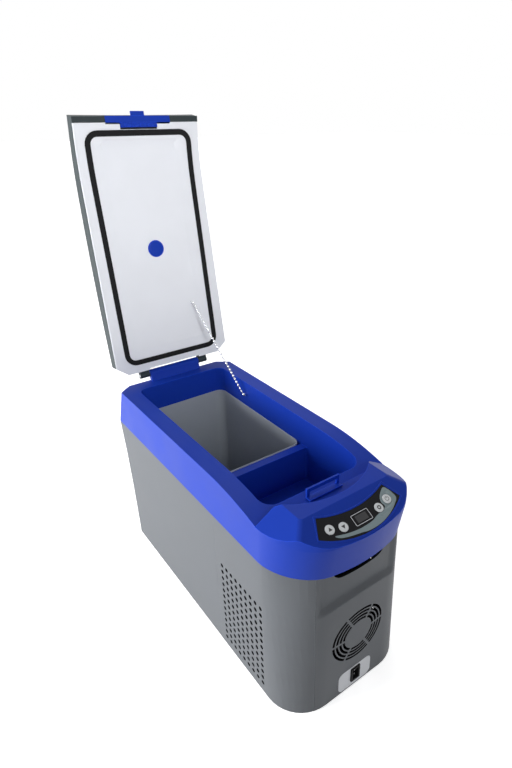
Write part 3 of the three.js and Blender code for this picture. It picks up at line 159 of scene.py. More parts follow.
def maths(tree, operation, first, second):
    """A Math node fed by sockets or plain numbers."""
    node = tree.nodes.new("ShaderNodeMath")
    node.operation = operation
    for socket, value in zip(node.inputs, (first, second)):
        if isinstance(value, bpy.types.NodeSocket):
            link(tree, value, socket)
        else:
            socket.default_value = value
    return node.outputs[0]


def start_group(name, inputs, outputs):
    """An empty node group with its sockets, and its two end nodes."""
    group = bpy.data.node_groups.new(name, "ShaderNodeTree")
    for label, kind, value in inputs:
        socket = group.interface.new_socket(label, in_out="INPUT", socket_type=kind)
        if value is not None:
            socket.default_value = value
    for label, kind in outputs:
        group.interface.new_socket(label, in_out="OUTPUT", socket_type=kind)
    return group, group.nodes.new("NodeGroupInput"), group.nodes.new("NodeGroupOutput")


def noise(tree, vector, scale, detail=3.0, roughness=0.5):
    """A noise texture's value at one scale."""
    node = tree.nodes.new("ShaderNodeTexNoise")
    node.inputs["Detail"].default_value = detail
    node.inputs["Roughness"].default_value = roughness
    link(tree, vector, node.inputs["Vector"])
    if isinstance(scale, bpy.types.NodeSocket):
        link(tree, scale, node.inputs["Scale"])
    else:
        node.inputs["Scale"].default_value = scale
    return node.outputs["Fac"]


def grain_group():
    """Fine spark-eroded texture of moulded plastic, with a soft uneven shade."""
    group, start, end = start_group(
        "moulded_grain",
        [("Vector", "NodeSocketVector", None), ("Scale", "NodeSocketFloat", 1400.0),
         ("Cloud Scale", "NodeSocketFloat", 14.0)],
        [("Height", "NodeSocketFloat"), ("Shade", "NodeSocketFloat")])
    fine = noise(group, start.outputs["Vector"], start.outputs["Scale"], 4.0, 0.62)
    cells = group.nodes.new("ShaderNodeTexVoronoi")
    link(group, start.outputs["Vector"], cells.inputs["Vector"])
    link(group, maths(group, "MULTIPLY", start.outputs["Scale"], 0.8), cells.inputs["Scale"])
    link(group, maths(group, "ADD", fine, cells.outputs["Distance"]), end.inputs["Height"])
    cloud = noise(group, start.outputs["Vector"], start.outputs["Cloud Scale"], 2.0)
    link(group, cloud, end.inputs["Shade"])
    return group


def edge_group():
    """Mask of the outer edges, where a painted highlight lightens a moulding."""
    group, start, end = start_group(
        "edge_highlight",
        [("Vector", "NodeSocketVector", None), ("Radius", "NodeSocketFloat", 0.0016),
         ("Breakup", "NodeSocketFloat", 0.4)],
        [("Mask", "NodeSocketFloat")])
    round_normal = group.nodes.new("ShaderNodeBevel")
    round_normal.samples = 4
    link(group, start.outputs["Radius"], round_normal.inputs["Radius"])
    geometry = group.nodes.new("ShaderNodeNewGeometry")
    dot = group.nodes.new("ShaderNodeVectorMath")
    dot.operation = "DOT_PRODUCT"
    link(group, round_normal.outputs["Normal"], dot.inputs[0])
    link(group, geometry.outputs["Normal"], dot.inputs[1])
    bent = maths(group, "SUBTRACT", 1.0, dot.outputs["Value"])
    sharp = maths(group, "MULTIPLY", bent, 7.0)
    patches = noise(group, start.outputs["Vector"], 90.0, 4.0)
    uneven = maths(group, "MULTIPLY", patches, start.outputs["Breakup"])
    mask = maths(group, "SUBTRACT", sharp, uneven)
    clamp = group.nodes.new("ShaderNodeClamp")
    link(group, mask, clamp.inputs["Value"])
    link(group, clamp.outputs["Result"], end.inputs["Mask"])
    return group


def smudge_group():
    """Slow unevenness of a wiped gloss surface."""
    group, start, end = start_group(
        "wiped_gloss",
        [("Vector", "NodeSocketVector", None), ("Low", "NodeSocketFloat", 0.2),
         ("High", "NodeSocketFloat", 0.35)],
        [("Roughness", "NodeSocketFloat"), ("Height", "NodeSocketFloat")])
    stretch = group.nodes.new("ShaderNodeMapping")
    stretch.inputs["Scale"].default_value = (1.0, 3.0, 0.6)
    link(group, start.outputs["Vector"], stretch.inputs["Vector"])
    streaks = noise(group, stretch.outputs["Vector"], 9.0, 5.0, 0.6)
    spread = group.nodes.new("ShaderNodeMapRange")
    link(group, streaks, spread.inputs["Value"])
    spread.inputs["From Min"].default_value = 0.3
    spread.inputs["From Max"].default_value = 0.7
    link(group, start.outputs["Low"], spread.inputs["To Min"])
    link(group, start.outputs["High"], spread.inputs["To Max"])
    link(group, spread.outputs["Result"], end.inputs["Roughness"])
    link(group, noise(group, start.outputs["Vector"], 38.0, 1.0), end.inputs["Height"])
    return group


GROUPS = {}


def shared_group(name):
    """The named node group, built the first time that it is asked for."""
    makers = {"moulded_grain": grain_group, "edge_highlight": edge_group, "wiped_gloss": smudge_group}
    if name not in GROUPS:
        GROUPS[name] = makers[name]()
    return GROUPS[name]


# ---- Materials ---------------------------------------------------------------
def blank_material(name, metallic=0.0, coat=0.0, coat_roughness=0.1, specular=0.5):
    """A material with its shader and its Object coordinates."""
    material = bpy.data.materials.new(name)
    material.use_nodes = True
    shader = material.node_tree.nodes["Principled BSDF"]
    shader.inputs["Metallic"].default_value = metallic
    shader.inputs["Specular IOR Level"].default_value = specular
    shader.inputs["Coat Weight"].default_value = coat
    shader.inputs["Coat Roughness"].default_value = coat_roughness
    place = material.node_tree.nodes.new("ShaderNodeTexCoord")
    return material, material.node_tree, shader, place.outputs["Object"]


def add_group(tree, name, vector, **values):
    """Places a shared group and sets its plain values."""
    node = tree.nodes.new("ShaderNodeGroup")
    node.node_tree = shared_group(name)
    link(tree, vector, node.inputs["Vector"])
    for label, value in values.items():
        node.inputs[label.replace("_", " ")].default_value = value
    return node


def blend_colour(tree, factor, first, second):
    """Mixes two colours, each a plain colour or a socket, by a mask."""
    node = tree.nodes.new("ShaderNodeMix")
    node.data_type = "RGBA"
    link(tree, factor, node.inputs["Factor"])
    for socket, value in ((node.inputs[6], first), (node.inputs[7], second)):
        if isinstance(value, bpy.types.NodeSocket):
            link(tree, value, socket)
        else:
            socket.default_value = (*value, 1.0)
    return node.outputs[2]


def shaded(colour, share):
    """The colour made lighter or darker by a share."""
    return tuple(min(1.0, channel * share) for channel in colour)


def add_bump(tree, shader, height, distance, strength=1.0):
    """Feeds a height in metres into the shader's normal."""
    bump = tree.nodes.new("ShaderNodeBump")
    bump.inputs["Distance"].default_value = distance
    bump.inputs["Strength"].default_value = strength
    link(tree, height, bump.inputs["Height"])
    link(tree, bump.outputs["Normal"], shader.inputs["Normal"])


def moulded_plastic(name, colour, roughness, grain=1400.0, depth=0.00004, strength=0.35,
                    highlight_share=1.7, variation=0.10, specular=0.2):
    """Matt or satin plastic with a moulded grain and a painted highlight on its edges."""
    material, tree, shader, vector = blank_material(name, specular=specular)
    texture = add_group(tree, "moulded_grain", vector, Scale=grain)
    edges = add_group(tree, "edge_highlight", vector)
    base = blend_colour(tree, texture.outputs["Shade"],
                        shaded(colour, 1.0 - variation), shaded(colour, 1.0 + variation))
    # Painted highlight: the edge mask mixes in a lighter copy of the colour where light would catch the
    # rounded edges.
    highlighted = blend_colour(tree, maths(tree, "MULTIPLY", edges.outputs["Mask"], 0.55),
                        base, shaded(colour, highlight_share))
    link(tree, highlighted, shader.inputs["Base Color"])
    spread = maths(tree, "MULTIPLY_ADD", texture.outputs["Shade"], 0.16)
    spread.node.inputs[2].default_value = roughness - 0.08
    link(tree, spread, shader.inputs["Roughness"])
    add_bump(tree, shader, texture.outputs["Height"], depth, strength)
    return material


def gloss_plastic(name, colour, low, high, coat=0.0, wave=0.00006, specular=0.5):
    """Smooth plastic with wiped streaks and a faint moulded wave."""
    material, tree, shader, vector = blank_material(name, coat=coat, specular=specular)
    wiped = add_group(tree, "wiped_gloss", vector, Low=low, High=high)
    texture = add_group(tree, "moulded_grain", vector, Scale=900.0)
    base = blend_colour(tree, texture.outputs["Shade"], shaded(colour, 0.96), shaded(colour, 1.04))
    link(tree, base, shader.inputs["Base Color"])
    link(tree, wiped.outputs["Roughness"], shader.inputs["Roughness"])
    add_bump(tree, shader, wiped.outputs["Height"], wave, 0.4)
    return material


def bright_metal(name, colour, low, high, scratch=500.0):
    """Plated or drawn metal with fine scratches."""
    material, tree, shader, vector = blank_material(name, metallic=1.0)
    wiped = add_group(tree, "wiped_gloss", vector, Low=low, High=high)
    texture = add_group(tree, "moulded_grain", vector, Scale=scratch)
    base = blend_colour(tree, texture.outputs["Shade"], shaded(colour, 0.86), shaded(colour, 1.08))
    link(tree, base, shader.inputs["Base Color"])
    link(tree, wiped.outputs["Roughness"], shader.inputs["Roughness"])
    add_bump(tree, shader, texture.outputs["Height"], 0.00001, 0.2)
    return material


MATERIALS = {}


def make_materials():
    """Builds every finish once, from the sidebar's colours."""
    colours = bpy.context.scene.cooler_colours
    depth = bpy.context.scene.cooler_sizes.grain_height
    MATERIALS.update({
        "shell": moulded_plastic("shell_plastic", colours.shell, 0.52, 1300.0, depth),
        "collar": moulded_plastic("collar_plastic", colours.collar, 0.40, 1500.0, depth, 0.22, 2.6, 0.07,
                                  0.12),
        "lid": moulded_plastic("lid_plastic", colours.lid, 0.48, 1300.0, depth, 0.35, 2.2),
        "bay": moulded_plastic("bay_plastic", colours.bay, 0.34, 2200.0, depth, 0.15, 1.3, 0.05),
        "rubber": moulded_plastic("soft_rubber", colours.rubber, 0.62, 1800.0, depth, 0.4, 1.8,
                                  specular=0.08),
        "black": moulded_plastic("black_plastic", colours.rubber, 0.5, 1500.0, depth, specular=0.06),
        "plate": moulded_plastic("plate_plastic", colours.plate, 0.42, 1700.0, depth, 0.2, 1.1, 0.04),
        "liner": gloss_plastic("liner_gloss", colours.liner, 0.12, 0.24, 0.3),
        "bezel": gloss_plastic("bezel_gloss", colours.bezel, 0.16, 0.28, 0.0, specular=0.12),
        "accent": gloss_plastic("accent_print", colours.accent, 0.22, 0.36),
        "button": gloss_plastic("button_gloss", colours.button, 0.16, 0.28, 0.3),
        "print": gloss_plastic("dark_print", shaded(colours.bezel, 1.5), 0.3, 0.45),
        "white_print": gloss_plastic("white_print", colours.liner, 0.3, 0.45),
        "board": gloss_plastic("board_lacquer", (0.015, 0.11, 0.035), 0.25, 0.4),
        "foam": moulded_plastic("foam_fill", (0.72, 0.64, 0.46), 0.9, 500.0, 0.0004, 0.8, 1.1),
        "enamel": gloss_plastic("black_enamel", shaded(colours.bezel, 1.4), 0.16, 0.3, 0.5),
        "metal": bright_metal("bright_metal", colours.metal, 0.10, 0.22),
        "sheet": bright_metal("mill_aluminium", shaded(colours.metal, 0.9), 0.28, 0.42, 300.0),
        "copper": bright_metal("drawn_copper", colours.copper, 0.2, 0.34, 400.0),
    })


def finish(obj, key, body=None, replaced=()):
    """Gives a piece its material, its body and what it stands for."""
    obj.data.materials.clear()
    obj.data.materials.append(MATERIALS[key])
    if body:
        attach(obj, body)
    if replaced:
        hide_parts(*replaced)
    return obj


# ---- Mesh helpers ------------------------------------------------------------
def to_object(bm, name, smooth=40.0, scale=MM):
    """Makes an object from a bmesh and shades it smooth except at its sharp edges."""
    bmesh.ops.scale(bm, vec=(scale, scale, scale), verts=bm.verts)
    mesh = bpy.data.meshes.new(name)
    bm.to_mesh(mesh)
    bm.free()
    obj = bpy.data.objects.new(name, mesh)
    bpy.context.scene.collection.objects.link(obj)
    shade(mesh, smooth)
    return obj


def shade(mesh, smooth):
    """Smooth shading with sharp edges past an angle in degrees."""
    mesh.shade_smooth()
    mesh.set_sharp_from_angle(angle=math.radians(smooth))


def node_bmesh(node, flat=0.6):
    """A CAD node's mesh in millimetres, merged, with its flat faces made whole."""
    bm = bmesh.new()
    bm.from_mesh(NODES[node].data)
    bmesh.ops.scale(bm, vec=(1 / MM,) * 3, verts=bm.verts)
    bmesh.ops.remove_doubles(bm, verts=bm.verts, dist=0.004)
    bmesh.ops.dissolve_degenerate(bm, dist=0.01, edges=bm.edges)
    bmesh.ops.dissolve_limit(bm, angle_limit=math.radians(flat), verts=bm.verts, edges=bm.edges)
    return bm


def round_edges(obj, width, segments=3, angle=30.0, clamp=True):
    """Rounds every edge past an angle and evens the normals of the faces beside it."""
    bevel = obj.modifiers.new("edge_round", "BEVEL")
    bevel.use_clamp_overlap = clamp
    bevel.width = width * MM
    bevel.segments = segments
    bevel.limit_method = "ANGLE"
    bevel.angle_limit = math.radians(angle)
    bevel.miter_outer = "MITER_ARC"
    weighted = obj.modifiers.new("even_normals", "WEIGHTED_NORMAL")
    weighted.keep_sharp = True
    return obj


def moulded_copy(name, node, key, body, width, segments=3, flat=0.6, smooth=38.0, clamp=True):
    """A rounded and smoothed copy of a CAD node that stands for it."""
    obj = to_object(node_bmesh(node, flat), name, smooth)
    round_edges(obj, width, segments, 30.0, clamp)
    return finish(obj, key, body, (node,))


def verts_in(geometry):
    """The vertices among the parts of a mesh that an operator returns."""
    return [part for part in geometry if isinstance(part, bmesh.types.BMVert)]


def prism(points, depth, matrix=Matrix()):
    """A closed prism on a flat outline, from z = 0 to z = depth, placed by a matrix."""
    bm = bmesh.new()
    face = bm.faces.new([bm.verts.new((x, y, 0.0)) for x, y in points])
    up = bmesh.ops.extrude_face_region(bm, geom=[face])["geom"]
    bmesh.ops.translate(bm, vec=(0, 0, depth), verts=verts_in(up))
    bmesh.ops.recalc_face_normals(bm, faces=bm.faces)
    bmesh.ops.transform(bm, matrix=matrix, verts=bm.verts)
    return bm


def bevel_rim(bm, width, segments=2, angle=50.0):
    """Rounds the sharp edges of a bmesh."""
    sharp = [e for e in bm.edges if len(e.link_faces) == 2 and e.calc_face_angle() > math.radians(angle)]
    bmesh.ops.bevel(bm, geom=sharp, offset=width, offset_type="OFFSET", segments=segments,
                    profile=0.5, affect="EDGES", clamp_overlap=True, material=-1)
    return bm


def rounded_outline(x0, x1, y0, y1, radius, steps=8):
    """A rounded rectangle as a list of points, anticlockwise."""
    corners = [(x1, y0, -90), (x1, y1, 0), (x0, y1, 90), (x0, y0, 180)]
    points = []
    for x, y, turn in corners:
        cx = x - radius if x == x1 else x + radius
        cy = y - radius if y == y1 else y + radius
        for step in range(steps + 1):
            angle = math.radians(turn + 90.0 * step / steps)
            points.append((cx + radius * math.cos(angle), cy + radius * math.sin(angle)))
    return points


def add_to(bm, other):
    """Moves one bmesh's geometry into another."""
    mesh = bpy.data.meshes.new("part")
    other.to_mesh(mesh)
    other.free()
    bm.from_mesh(mesh)
    bpy.data.meshes.remove(mesh)


def carve(obj, cutters):
    """Cuts solids, one bmesh in millimetres for each, out of an object for good."""
    tool = to_object(cutters, "tool")
    boolean = obj.modifiers.new("carve", "BOOLEAN")
    boolean.operation = "DIFFERENCE"
    boolean.solver = "EXACT"
    boolean.object = tool
    bpy.context.view_layer.update()
    carved = bpy.data.meshes.new_from_object(obj.evaluated_get(bpy.context.evaluated_depsgraph_get()))
    obj.modifiers.clear()
    plain = obj.data
    obj.data = carved
    bpy.data.meshes.remove(plain)
    old = tool.data
    bpy.data.objects.remove(tool)
    bpy.data.meshes.remove(old)
    return obj


# ---- Cabinet -----------------------------------------------------------------
WALL = 3.0
VENT_COLUMNS = 9
VENT_ROWS = 13
VENT_PITCH = 13.08
VENT_FIRST_Y = -83.7
VENT_TOP_Z = 176.1
FRONT_RADIUS = 62.0
FRONT_CORNER_Y = -203.0
FRONT_FLAT_HALF = HALF_WIDTH - FRONT_RADIUS
FRONT_BULGE = 8.0
FRONT_FLARE = 0.0019
FAN_Z = 117.6


def close_loops(bm):
    """Puts one face across every open loop of edges."""
    rims = {edge for edge in bm.edges if edge.is_boundary}
    while rims:
        loop = list(rims.pop().verts)
        while True:
            step = next((edge for edge in loop[-1].link_edges if edge in rims), None)
            rims.discard(step)
            if step is None or step.other_vert(loop[-1]) is loop[0]:
                break
            loop.append(step.other_vert(loop[-1]))
        bm.faces.new(loop)
    bmesh.ops.recalc_face_normals(bm, faces=bm.faces)


def fill_square_vents(bm):
    """Closes the square holes of the CAD housing, so that round ones can be cut."""
    low_y = VENT_FIRST_Y - VENT_PITCH * (VENT_COLUMNS - 0.5)
    walls = []
    for face in bm.faces:
        centre = face.calc_center_median()
        beside = low_y < centre.y < VENT_FIRST_Y + VENT_PITCH / 2
        in_grid = beside and 10 < centre.z < VENT_TOP_Z + VENT_PITCH / 2
        between = HALF_WIDTH - WALL < abs(centre.x) < HALF_WIDTH
        if in_grid and between and abs(face.normal.x) < 0.5:
            walls.append(face)
    bmesh.ops.delete(bm, geom=walls, context="FACES")
    close_loops(bm)
    bmesh.ops.dissolve_limit(bm, angle_limit=math.radians(0.6), verts=bm.verts, edges=bm.edges)
    for column in range(VENT_COLUMNS + 1):
        split_at(bm, (0, VENT_FIRST_Y + VENT_PITCH * (0.5 - column), 0), (0, 1, 0))
    for row in range(VENT_ROWS + 1):
        split_at(bm, (0, 0, VENT_TOP_Z + VENT_PITCH * (0.5 - row)), (0, 0, 1))


def split_at(bm, place, normal):
    """Adds edges where a plane crosses, so that each vent hole has a face of its own."""
    bmesh.ops.bisect_plane(bm, geom=[*bm.verts, *bm.edges, *bm.faces], plane_co=place, plane_no=normal)


SIDEWAYS = Matrix.Rotation(math.pi / 2, 4, "Y")


def vent_cutters(diameter):
    """One round pin through the wall for each vent hole, on both sides."""
    bm = bmesh.new()
    for side in (-1, 1):
        for column in range(VENT_COLUMNS):
            for row in range(VENT_ROWS):
                place = Matrix.Translation((side * (HALF_WIDTH - WALL / 2),
                                            VENT_FIRST_Y - column * VENT_PITCH,
                                            VENT_TOP_Z - row * VENT_PITCH))
                bmesh.ops.create_cone(bm, cap_ends=True, segments=16, radius1=diameter / 2,
                                      radius2=diameter / 2, depth=4 * WALL, matrix=place @ SIDEWAYS)
    return bm


def paint_inside_shade(obj):
    """Outer faces get the shell finish; vent walls and inner faces get the black one as painted shade."""
    obj.data.materials.clear()
    obj.data.materials.append(MATERIALS["shell"])
    obj.data.materials.append(MATERIALS["black"])
    for face in obj.data.polygons:
        out = Vector((face.center.x, min(0.0, face.center.y + 0.2), 0.0))
        inward = face.normal.dot(out) < 0
        within = (HALF_WIDTH - WALL) * MM < abs(face.center.x) < (HALF_WIDTH - 0.3) * MM
        in_wall = abs(face.normal.x) < 0.5 and within
        vent_wall = in_wall and -0.2 < face.center.y < -0.07 and 0.01 < face.center.z < 0.185
        # Painted shade: inner faces and vent walls are coloured black where they lie in shade.
        face.material_index = 1 if inward or vent_wall else 0


class COOLER_OT_cabinet(bpy.types.Operator):
    """Builds the rear shell, the machine housing with its round vents, and the feet"""
    bl_idname = "cooler.cabinet"
    bl_label = "Cabinet"

    def execute(self, context):
        moulded_copy("rear_shell", "cabinet_shell", "shell", "cabinet", size("trim_round"),
                     3, 0.6, 38.0, False)
        bm = node_bmesh("machine_housing")
        fill_square_vents(bm)
        housing = to_object(bm, "vented_housing", 38.0)
        carve(housing, vent_cutters(size("vent_diameter")))
        shade(housing.data, 38.0)
        paint_inside_shade(housing)
        weighted = housing.modifiers.new("even_normals", "WEIGHTED_NORMAL")
        weighted.keep_sharp = True
        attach(housing, "cabinet")
        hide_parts("machine_housing")
        for row in ("front", "rear"):
            for side in ("left", "right"):
                moulded_copy(f"pad_{row}_{side}", f"foot_{row}_{side}", "rubber", "cabinet",
                             size("trim_round"))
        return {"FINISHED"}


# ---- Front panel ---------------------------------------------------------------
PANEL_HALF_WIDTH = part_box("front_panel")[1][0] / MM
PANEL_LOW_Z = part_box("front_panel")[0][2] / MM
CREASE_Z = 203.0
CREASE_DROP = 15.0
CREASE_INSET = 7.0
CREASE_RUN = 7.0
CREASE_FADE = 14.0
GRILLE_RADIUS = 49.4
GRILLE_PITCH = 6.3
GRILLE_SLOT = 4.1
GRILLE_SPOKE = 4.0
GRIP_HALF = 50.0
GRIP_LOW_Z = 244.0
SOCKET_HALF = 33.0
SOCKET_LOW_Z = 5.0
SOCKET_TOP_Z = 45.0
SOCKET_CORNER = 10.0
SEAT_GAP = 0.3
PLATE_THICK = 1.4
INLET_HALF_X = 9.3
INLET_Z = 28.5
INLET_HALF_Z = 13.8


def eased(value):
    """A smooth step from zero to one."""
    held = ramp(value)
    return held * held * (3 - 2 * held)


def front_face_y(x, z):
    """Front face of the cabinet: round in plan, leaning and bulging as it rises."""
    over = max(0.0, abs(x) - FRONT_FLAT_HALF)
    lean = ramp(z / SEAM_Z) * (FRONT_FLARE * x * x - FRONT_BULGE)
    return FRONT_CORNER_Y - math.sqrt(FRONT_RADIUS ** 2 - over ** 2) + lean


def panel_face_y(x, z):
    """The panel's face, set back above its arched crease."""
    crease = CREASE_Z - CREASE_DROP * (x / PANEL_HALF_WIDTH) ** 2
    fade = eased((PANEL_HALF_WIDTH - abs(x)) / CREASE_FADE)
    return front_face_y(x, z) + CREASE_INSET * ramp((z - crease) / CREASE_RUN) * fade


def panel_sheet():
    """The panel as a fine sheet with its wall, before it is cut."""
    bm = bmesh.new()
    columns, rows = 76, 150
    half_z = (SEAM_Z - PANEL_LOW_Z) / 2
    bmesh.ops.create_grid(bm, x_segments=columns, y_segments=rows, size=1.0)
    for vert in bm.verts:
        x = vert.co.x * PANEL_HALF_WIDTH
        z = PANEL_LOW_Z + (vert.co.y + 1) * half_z
        vert.co = (x, panel_face_y(x, z), z)
    skin = bmesh.ops.extrude_face_region(bm, geom=bm.faces[:])["geom"]
    bmesh.ops.translate(bm, vec=(0, WALL, 0), verts=verts_in(skin))
    bmesh.ops.recalc_face_normals(bm, faces=bm.faces)
    return bm


def grille_cutters():
    """Arc slots in four rings between six spokes."""
    bm = bmesh.new()
    front = front_face_y(0, FAN_Z) - 12
    for ring in range(4):
        outer = GRILLE_RADIUS - ring * GRILLE_PITCH
        inner = outer - GRILLE_SLOT
        gap = math.asin(GRILLE_SPOKE / (inner + outer))
        for spoke in range(6):
            start = math.radians(60 * spoke) + gap
            corners = [(inner, 0), (outer, 0), (outer, 30), (inner, 30)]
            face = bm.faces.new([bm.verts.new((r * math.cos(start), front + y, FAN_Z + r * math.sin(start)))
                                 for r, y in corners])
            bmesh.ops.spin(bm, geom=[face, *face.edges, *face.verts], cent=(0, 0, FAN_Z), axis=(0, -1, 0),
                           dvec=(0, 0, 0), angle=math.radians(60) - 2 * gap, steps=12, use_duplicate=False)
    bmesh.ops.recalc_face_normals(bm, faces=bm.faces)
    return bm


def paint_shade_behind(obj):
    """Everything behind the panel's outer face, slot walls too, gets the black finish as painted shade."""
    obj.data.materials.append(MATERIALS["black"])
    for face in obj.data.polygons:
        x, y, z = face.center / MM
        # Painted shade: faces behind the outer face and the slot walls are coloured black where they lie in
        # shade.
        face.material_index = 1 if y > panel_face_y(x, z) + 1.1 and abs(x) < PANEL_HALF_WIDTH - 1 else 0


UPRIGHT = Matrix.Rotation(math.pi / 2, 4, "X")


def facing(front_y, points, depth):
    """A prism on an (x, z) outline that runs back from front_y by depth."""
    return prism(points, -depth, Matrix.Translation((0, front_y, 0)) @ UPRIGHT)


def grip_outline():
    """Bowl-shaped notch where fingers reach under the collar."""
    rise = SEAM_Z + 5 - GRIP_LOW_Z
    inner = GRIP_HALF - 0.9 * rise
    right = []
    for step in range(13):
        t = step / 12
        x = (1 - t) ** 2 * inner + 2 * t * (1 - t) * GRIP_HALF + t * t * GRIP_HALF
        right.append((x, GRIP_LOW_Z + t * t * rise))
    return [*[(-x, z) for x, z in reversed(right)], *right]


class COOLER_OT_front_panel(bpy.types.Operator):
    """Builds the front panel with its crease, fan grille and hand slot, and the inlet in its plate"""
    bl_idname = "cooler.front_panel"
    bl_label = "Front panel"

    def execute(self, context):
        panel = to_object(panel_sheet(), "creased_panel")
        cutters = grille_cutters()
        low = front_face_y(0, 0)
        add_to(cutters, facing(low - 30, grip_outline(), 80))
        carve(panel, cutters)
        seat = rounded_outline(-SOCKET_HALF - SEAT_GAP, SOCKET_HALF + SEAT_GAP, SOCKET_LOW_Z - SEAT_GAP,
                               SOCKET_TOP_Z + SEAT_GAP, SOCKET_CORNER + SEAT_GAP)
        carve(panel, facing(low - 20, seat, 20.4))
        hole = rounded_outline(-INLET_HALF_X, INLET_HALF_X, INLET_Z - INLET_HALF_Z,
                               INLET_Z + INLET_HALF_Z, 1.0, 3)
        carve(panel, facing(low - 20, hole, 60))
        shade(panel.data, 30.0)
        finish(panel, "shell", "cabinet", ("front_panel",))
        paint_shade_behind(panel)
        moulded_copy("hand_slot_pocket", "grip_pocket", "black", "cabinet",
                     size("trim_round"))
        face = rounded_outline(-SOCKET_HALF, SOCKET_HALF, SOCKET_LOW_Z, SOCKET_TOP_Z, SOCKET_CORNER)
        plate = facing(low - PLATE_THICK, face, PLATE_THICK)
        plate_obj = to_object(bevel_rim(plate, 0.4), "inlet_plate")
        carve(plate_obj, facing(low - 20, hole, 60))
        shade(plate_obj.data, 38.0)
        finish(plate_obj, "plate", "cabinet", ("socket_plate",))
        moulded_copy("inlet_socket", "power_inlet", "black", "cabinet", size("trim_round"))
        return {"FINISHED"}


# ---- Collar --------------------------------------------------------------------
CONSOLE_FOLD_ROUND = 12.0
BEZEL_TOP_HALF = 60.0
BEZEL_TOP_DIP = 11.5
BEZEL_LOW_HALF = 74.0
BEZEL_LOW_Y = -26.5
BEZEL_LOW_DIP = 22.0


def soften_console(bm):
    """Rounds the folds where the console falls away to the sides."""
    folds = []
    for edge in bm.edges:
        if len(edge.link_faces) != 2 or max(vert.co.y for vert in edge.verts) > -190:
            continue
        first, second = (face.normal for face in edge.link_faces)
        bend = math.degrees(first.angle(second, 0.0))
        if min(first.z, second.z) > 0.6 and 20 < bend < 60 and abs(first.x - second.x) > 0.3:
            folds.append(edge)
    bmesh.ops.bevel(bm, geom=folds, offset=CONSOLE_FOLD_ROUND, offset_type="OFFSET", segments=8, profile=0.5,
                    affect="EDGES", clamp_overlap=True, material=-1)


def crescent_outline(grow):
    """The console plate's outline, between two shallow arcs, moved out by grow."""
    outline = []
    for half, dip, mid_y, side in ((BEZEL_LOW_HALF, BEZEL_LOW_DIP, BEZEL_LOW_Y - BEZEL_LOW_DIP, 1),
                                   (BEZEL_TOP_HALF, BEZEL_TOP_DIP, -BEZEL_TOP_DIP, -1)):
        radius = (half * half + dip * dip) / (2 * dip)
        grown = radius + side * grow
        reach = math.asin((half + grow) / grown)
        for step in range(41):
            turn = side * reach * (step / 20 - 1)
            outline.append((grown * math.sin(turn), mid_y + radius - grown * math.cos(turn)))
    return outline


class COOLER_OT_collar(bpy.types.Operator):
    """Builds the collar round the mouth, with the hinge block, the catch and the food bay"""
    bl_idname = "cooler.collar"
    bl_label = "Collar"

    def execute(self, context):
        bm = node_bmesh("top_collar", 0.8)
        soften_console(bm)
        collar = to_object(bm, "collar", 36.0)
        round_edges(collar, size("edge_round"))
        finish(collar, "collar", "cabinet", ("top_collar",))
        rim = ring_prism(crescent_outline(2.4), crescent_outline(0.1), -0.5, 0.7, CONSOLE)
        finish(to_object(bevel_rim(rim, 0.5, 3), "console_rim"), "collar", "cabinet")
        moulded_copy("hinge_saddle", "hinge_block", "collar", "cabinet", 0.8)
        moulded_copy("catch_plate", "lid_catch", "collar", "cabinet", size("trim_round"))
        moulded_copy("food_bay", "inner_liner", "bay", "cabinet", size("trim_round"))
        return {"FINISHED"}


# ---- Console -------------------------------------------------------------------
BEZEL_FACE = -0.1
BUTTON_RADIUS = 6.8
BUTTON_TOP = 0.9
BUTTON_PLACES = {"up": (-51.7, -21.5), "down": (-32.1, -26.8), "set": (32.1, -26.8), "power": (51.7, -21.5)}
DISPLAY_HALF = 15.0
DISPLAY_TOP = -18.7
DISPLAY_LOW = -35.2
ACCENT_UPPER = [(58.7, -4.9), (50, -9.4), (43.5, -15.4), (40.5, -22), (41, -30.2), (21.8, -34.6), (12, -37.6),
                (-1.5, -38.8), (-16, -38.6), (-33.5, -36.2), (-50.5, -32.2)]
ACCENT_LOWER = [(-44.5, -37.6), (-29.9, -41.6), (-12, -44.6), (-4, -46.4), (9, -47.0), (26, -45.2),
                (44.5, -39.6), (58, -32.6), (66.5, -26), (66, -17), (63.5, -10)]


def smooth_outline(points, steps=5):
    """A closed Catmull-Rom curve through a few points."""
    count = len(points)
    curve = []
    for i in range(count):
        p0, p1, p2, p3 = (Vector(points[(i + k - 1) % count]) for k in range(4))
        for step in range(steps):
            t = step / steps
            curve.append(tuple(0.5 * (2 * p1 + (p2 - p0) * t + (2 * p0 - 5 * p1 + 4 * p2 - p3) * t * t
                                      + (3 * p1 - p0 - 3 * p2 + p3) * t ** 3)))
    return curve


def on_console(points, low, high):
    """A prism on an outline drawn on the console face, from low to high above it."""
    return prism(points, high - low, CONSOLE @ Matrix.Translation((0, 0, low)))


def ring_prism(outer, inner, low, high, matrix):
    """A closed frame between two outlines with the same number of points."""
    bm = bmesh.new()
    loops = []
    for outline in (outer, inner):
        verts = [bm.verts.new((x, y, low)) for x, y in outline]
        loops.append([bm.edges.new((verts[i], verts[(i + 1) % len(verts)])) for i in range(len(verts))])
    faces = bmesh.ops.bridge_loops(bm, edges=loops[0] + loops[1])["faces"]
    up = bmesh.ops.extrude_face_region(bm, geom=faces)["geom"]
    bmesh.ops.translate(bm, vec=(0, 0, high - low), verts=verts_in(up))
    bmesh.ops.recalc_face_normals(bm, faces=bm.faces)
    bmesh.ops.transform(bm, matrix=matrix, verts=bm.verts)
    return bm


def circle_points(radius, x=0.0, y=0.0, steps=32, start=0.0, sweep=360.0):
    """Points round a circle or along an arc."""
    count = steps if sweep == 360.0 else steps + 1
    return [(x + radius * math.cos(math.radians(start + sweep * i / steps)),
             y + radius * math.sin(math.radians(start + sweep * i / steps))) for i in range(count)]


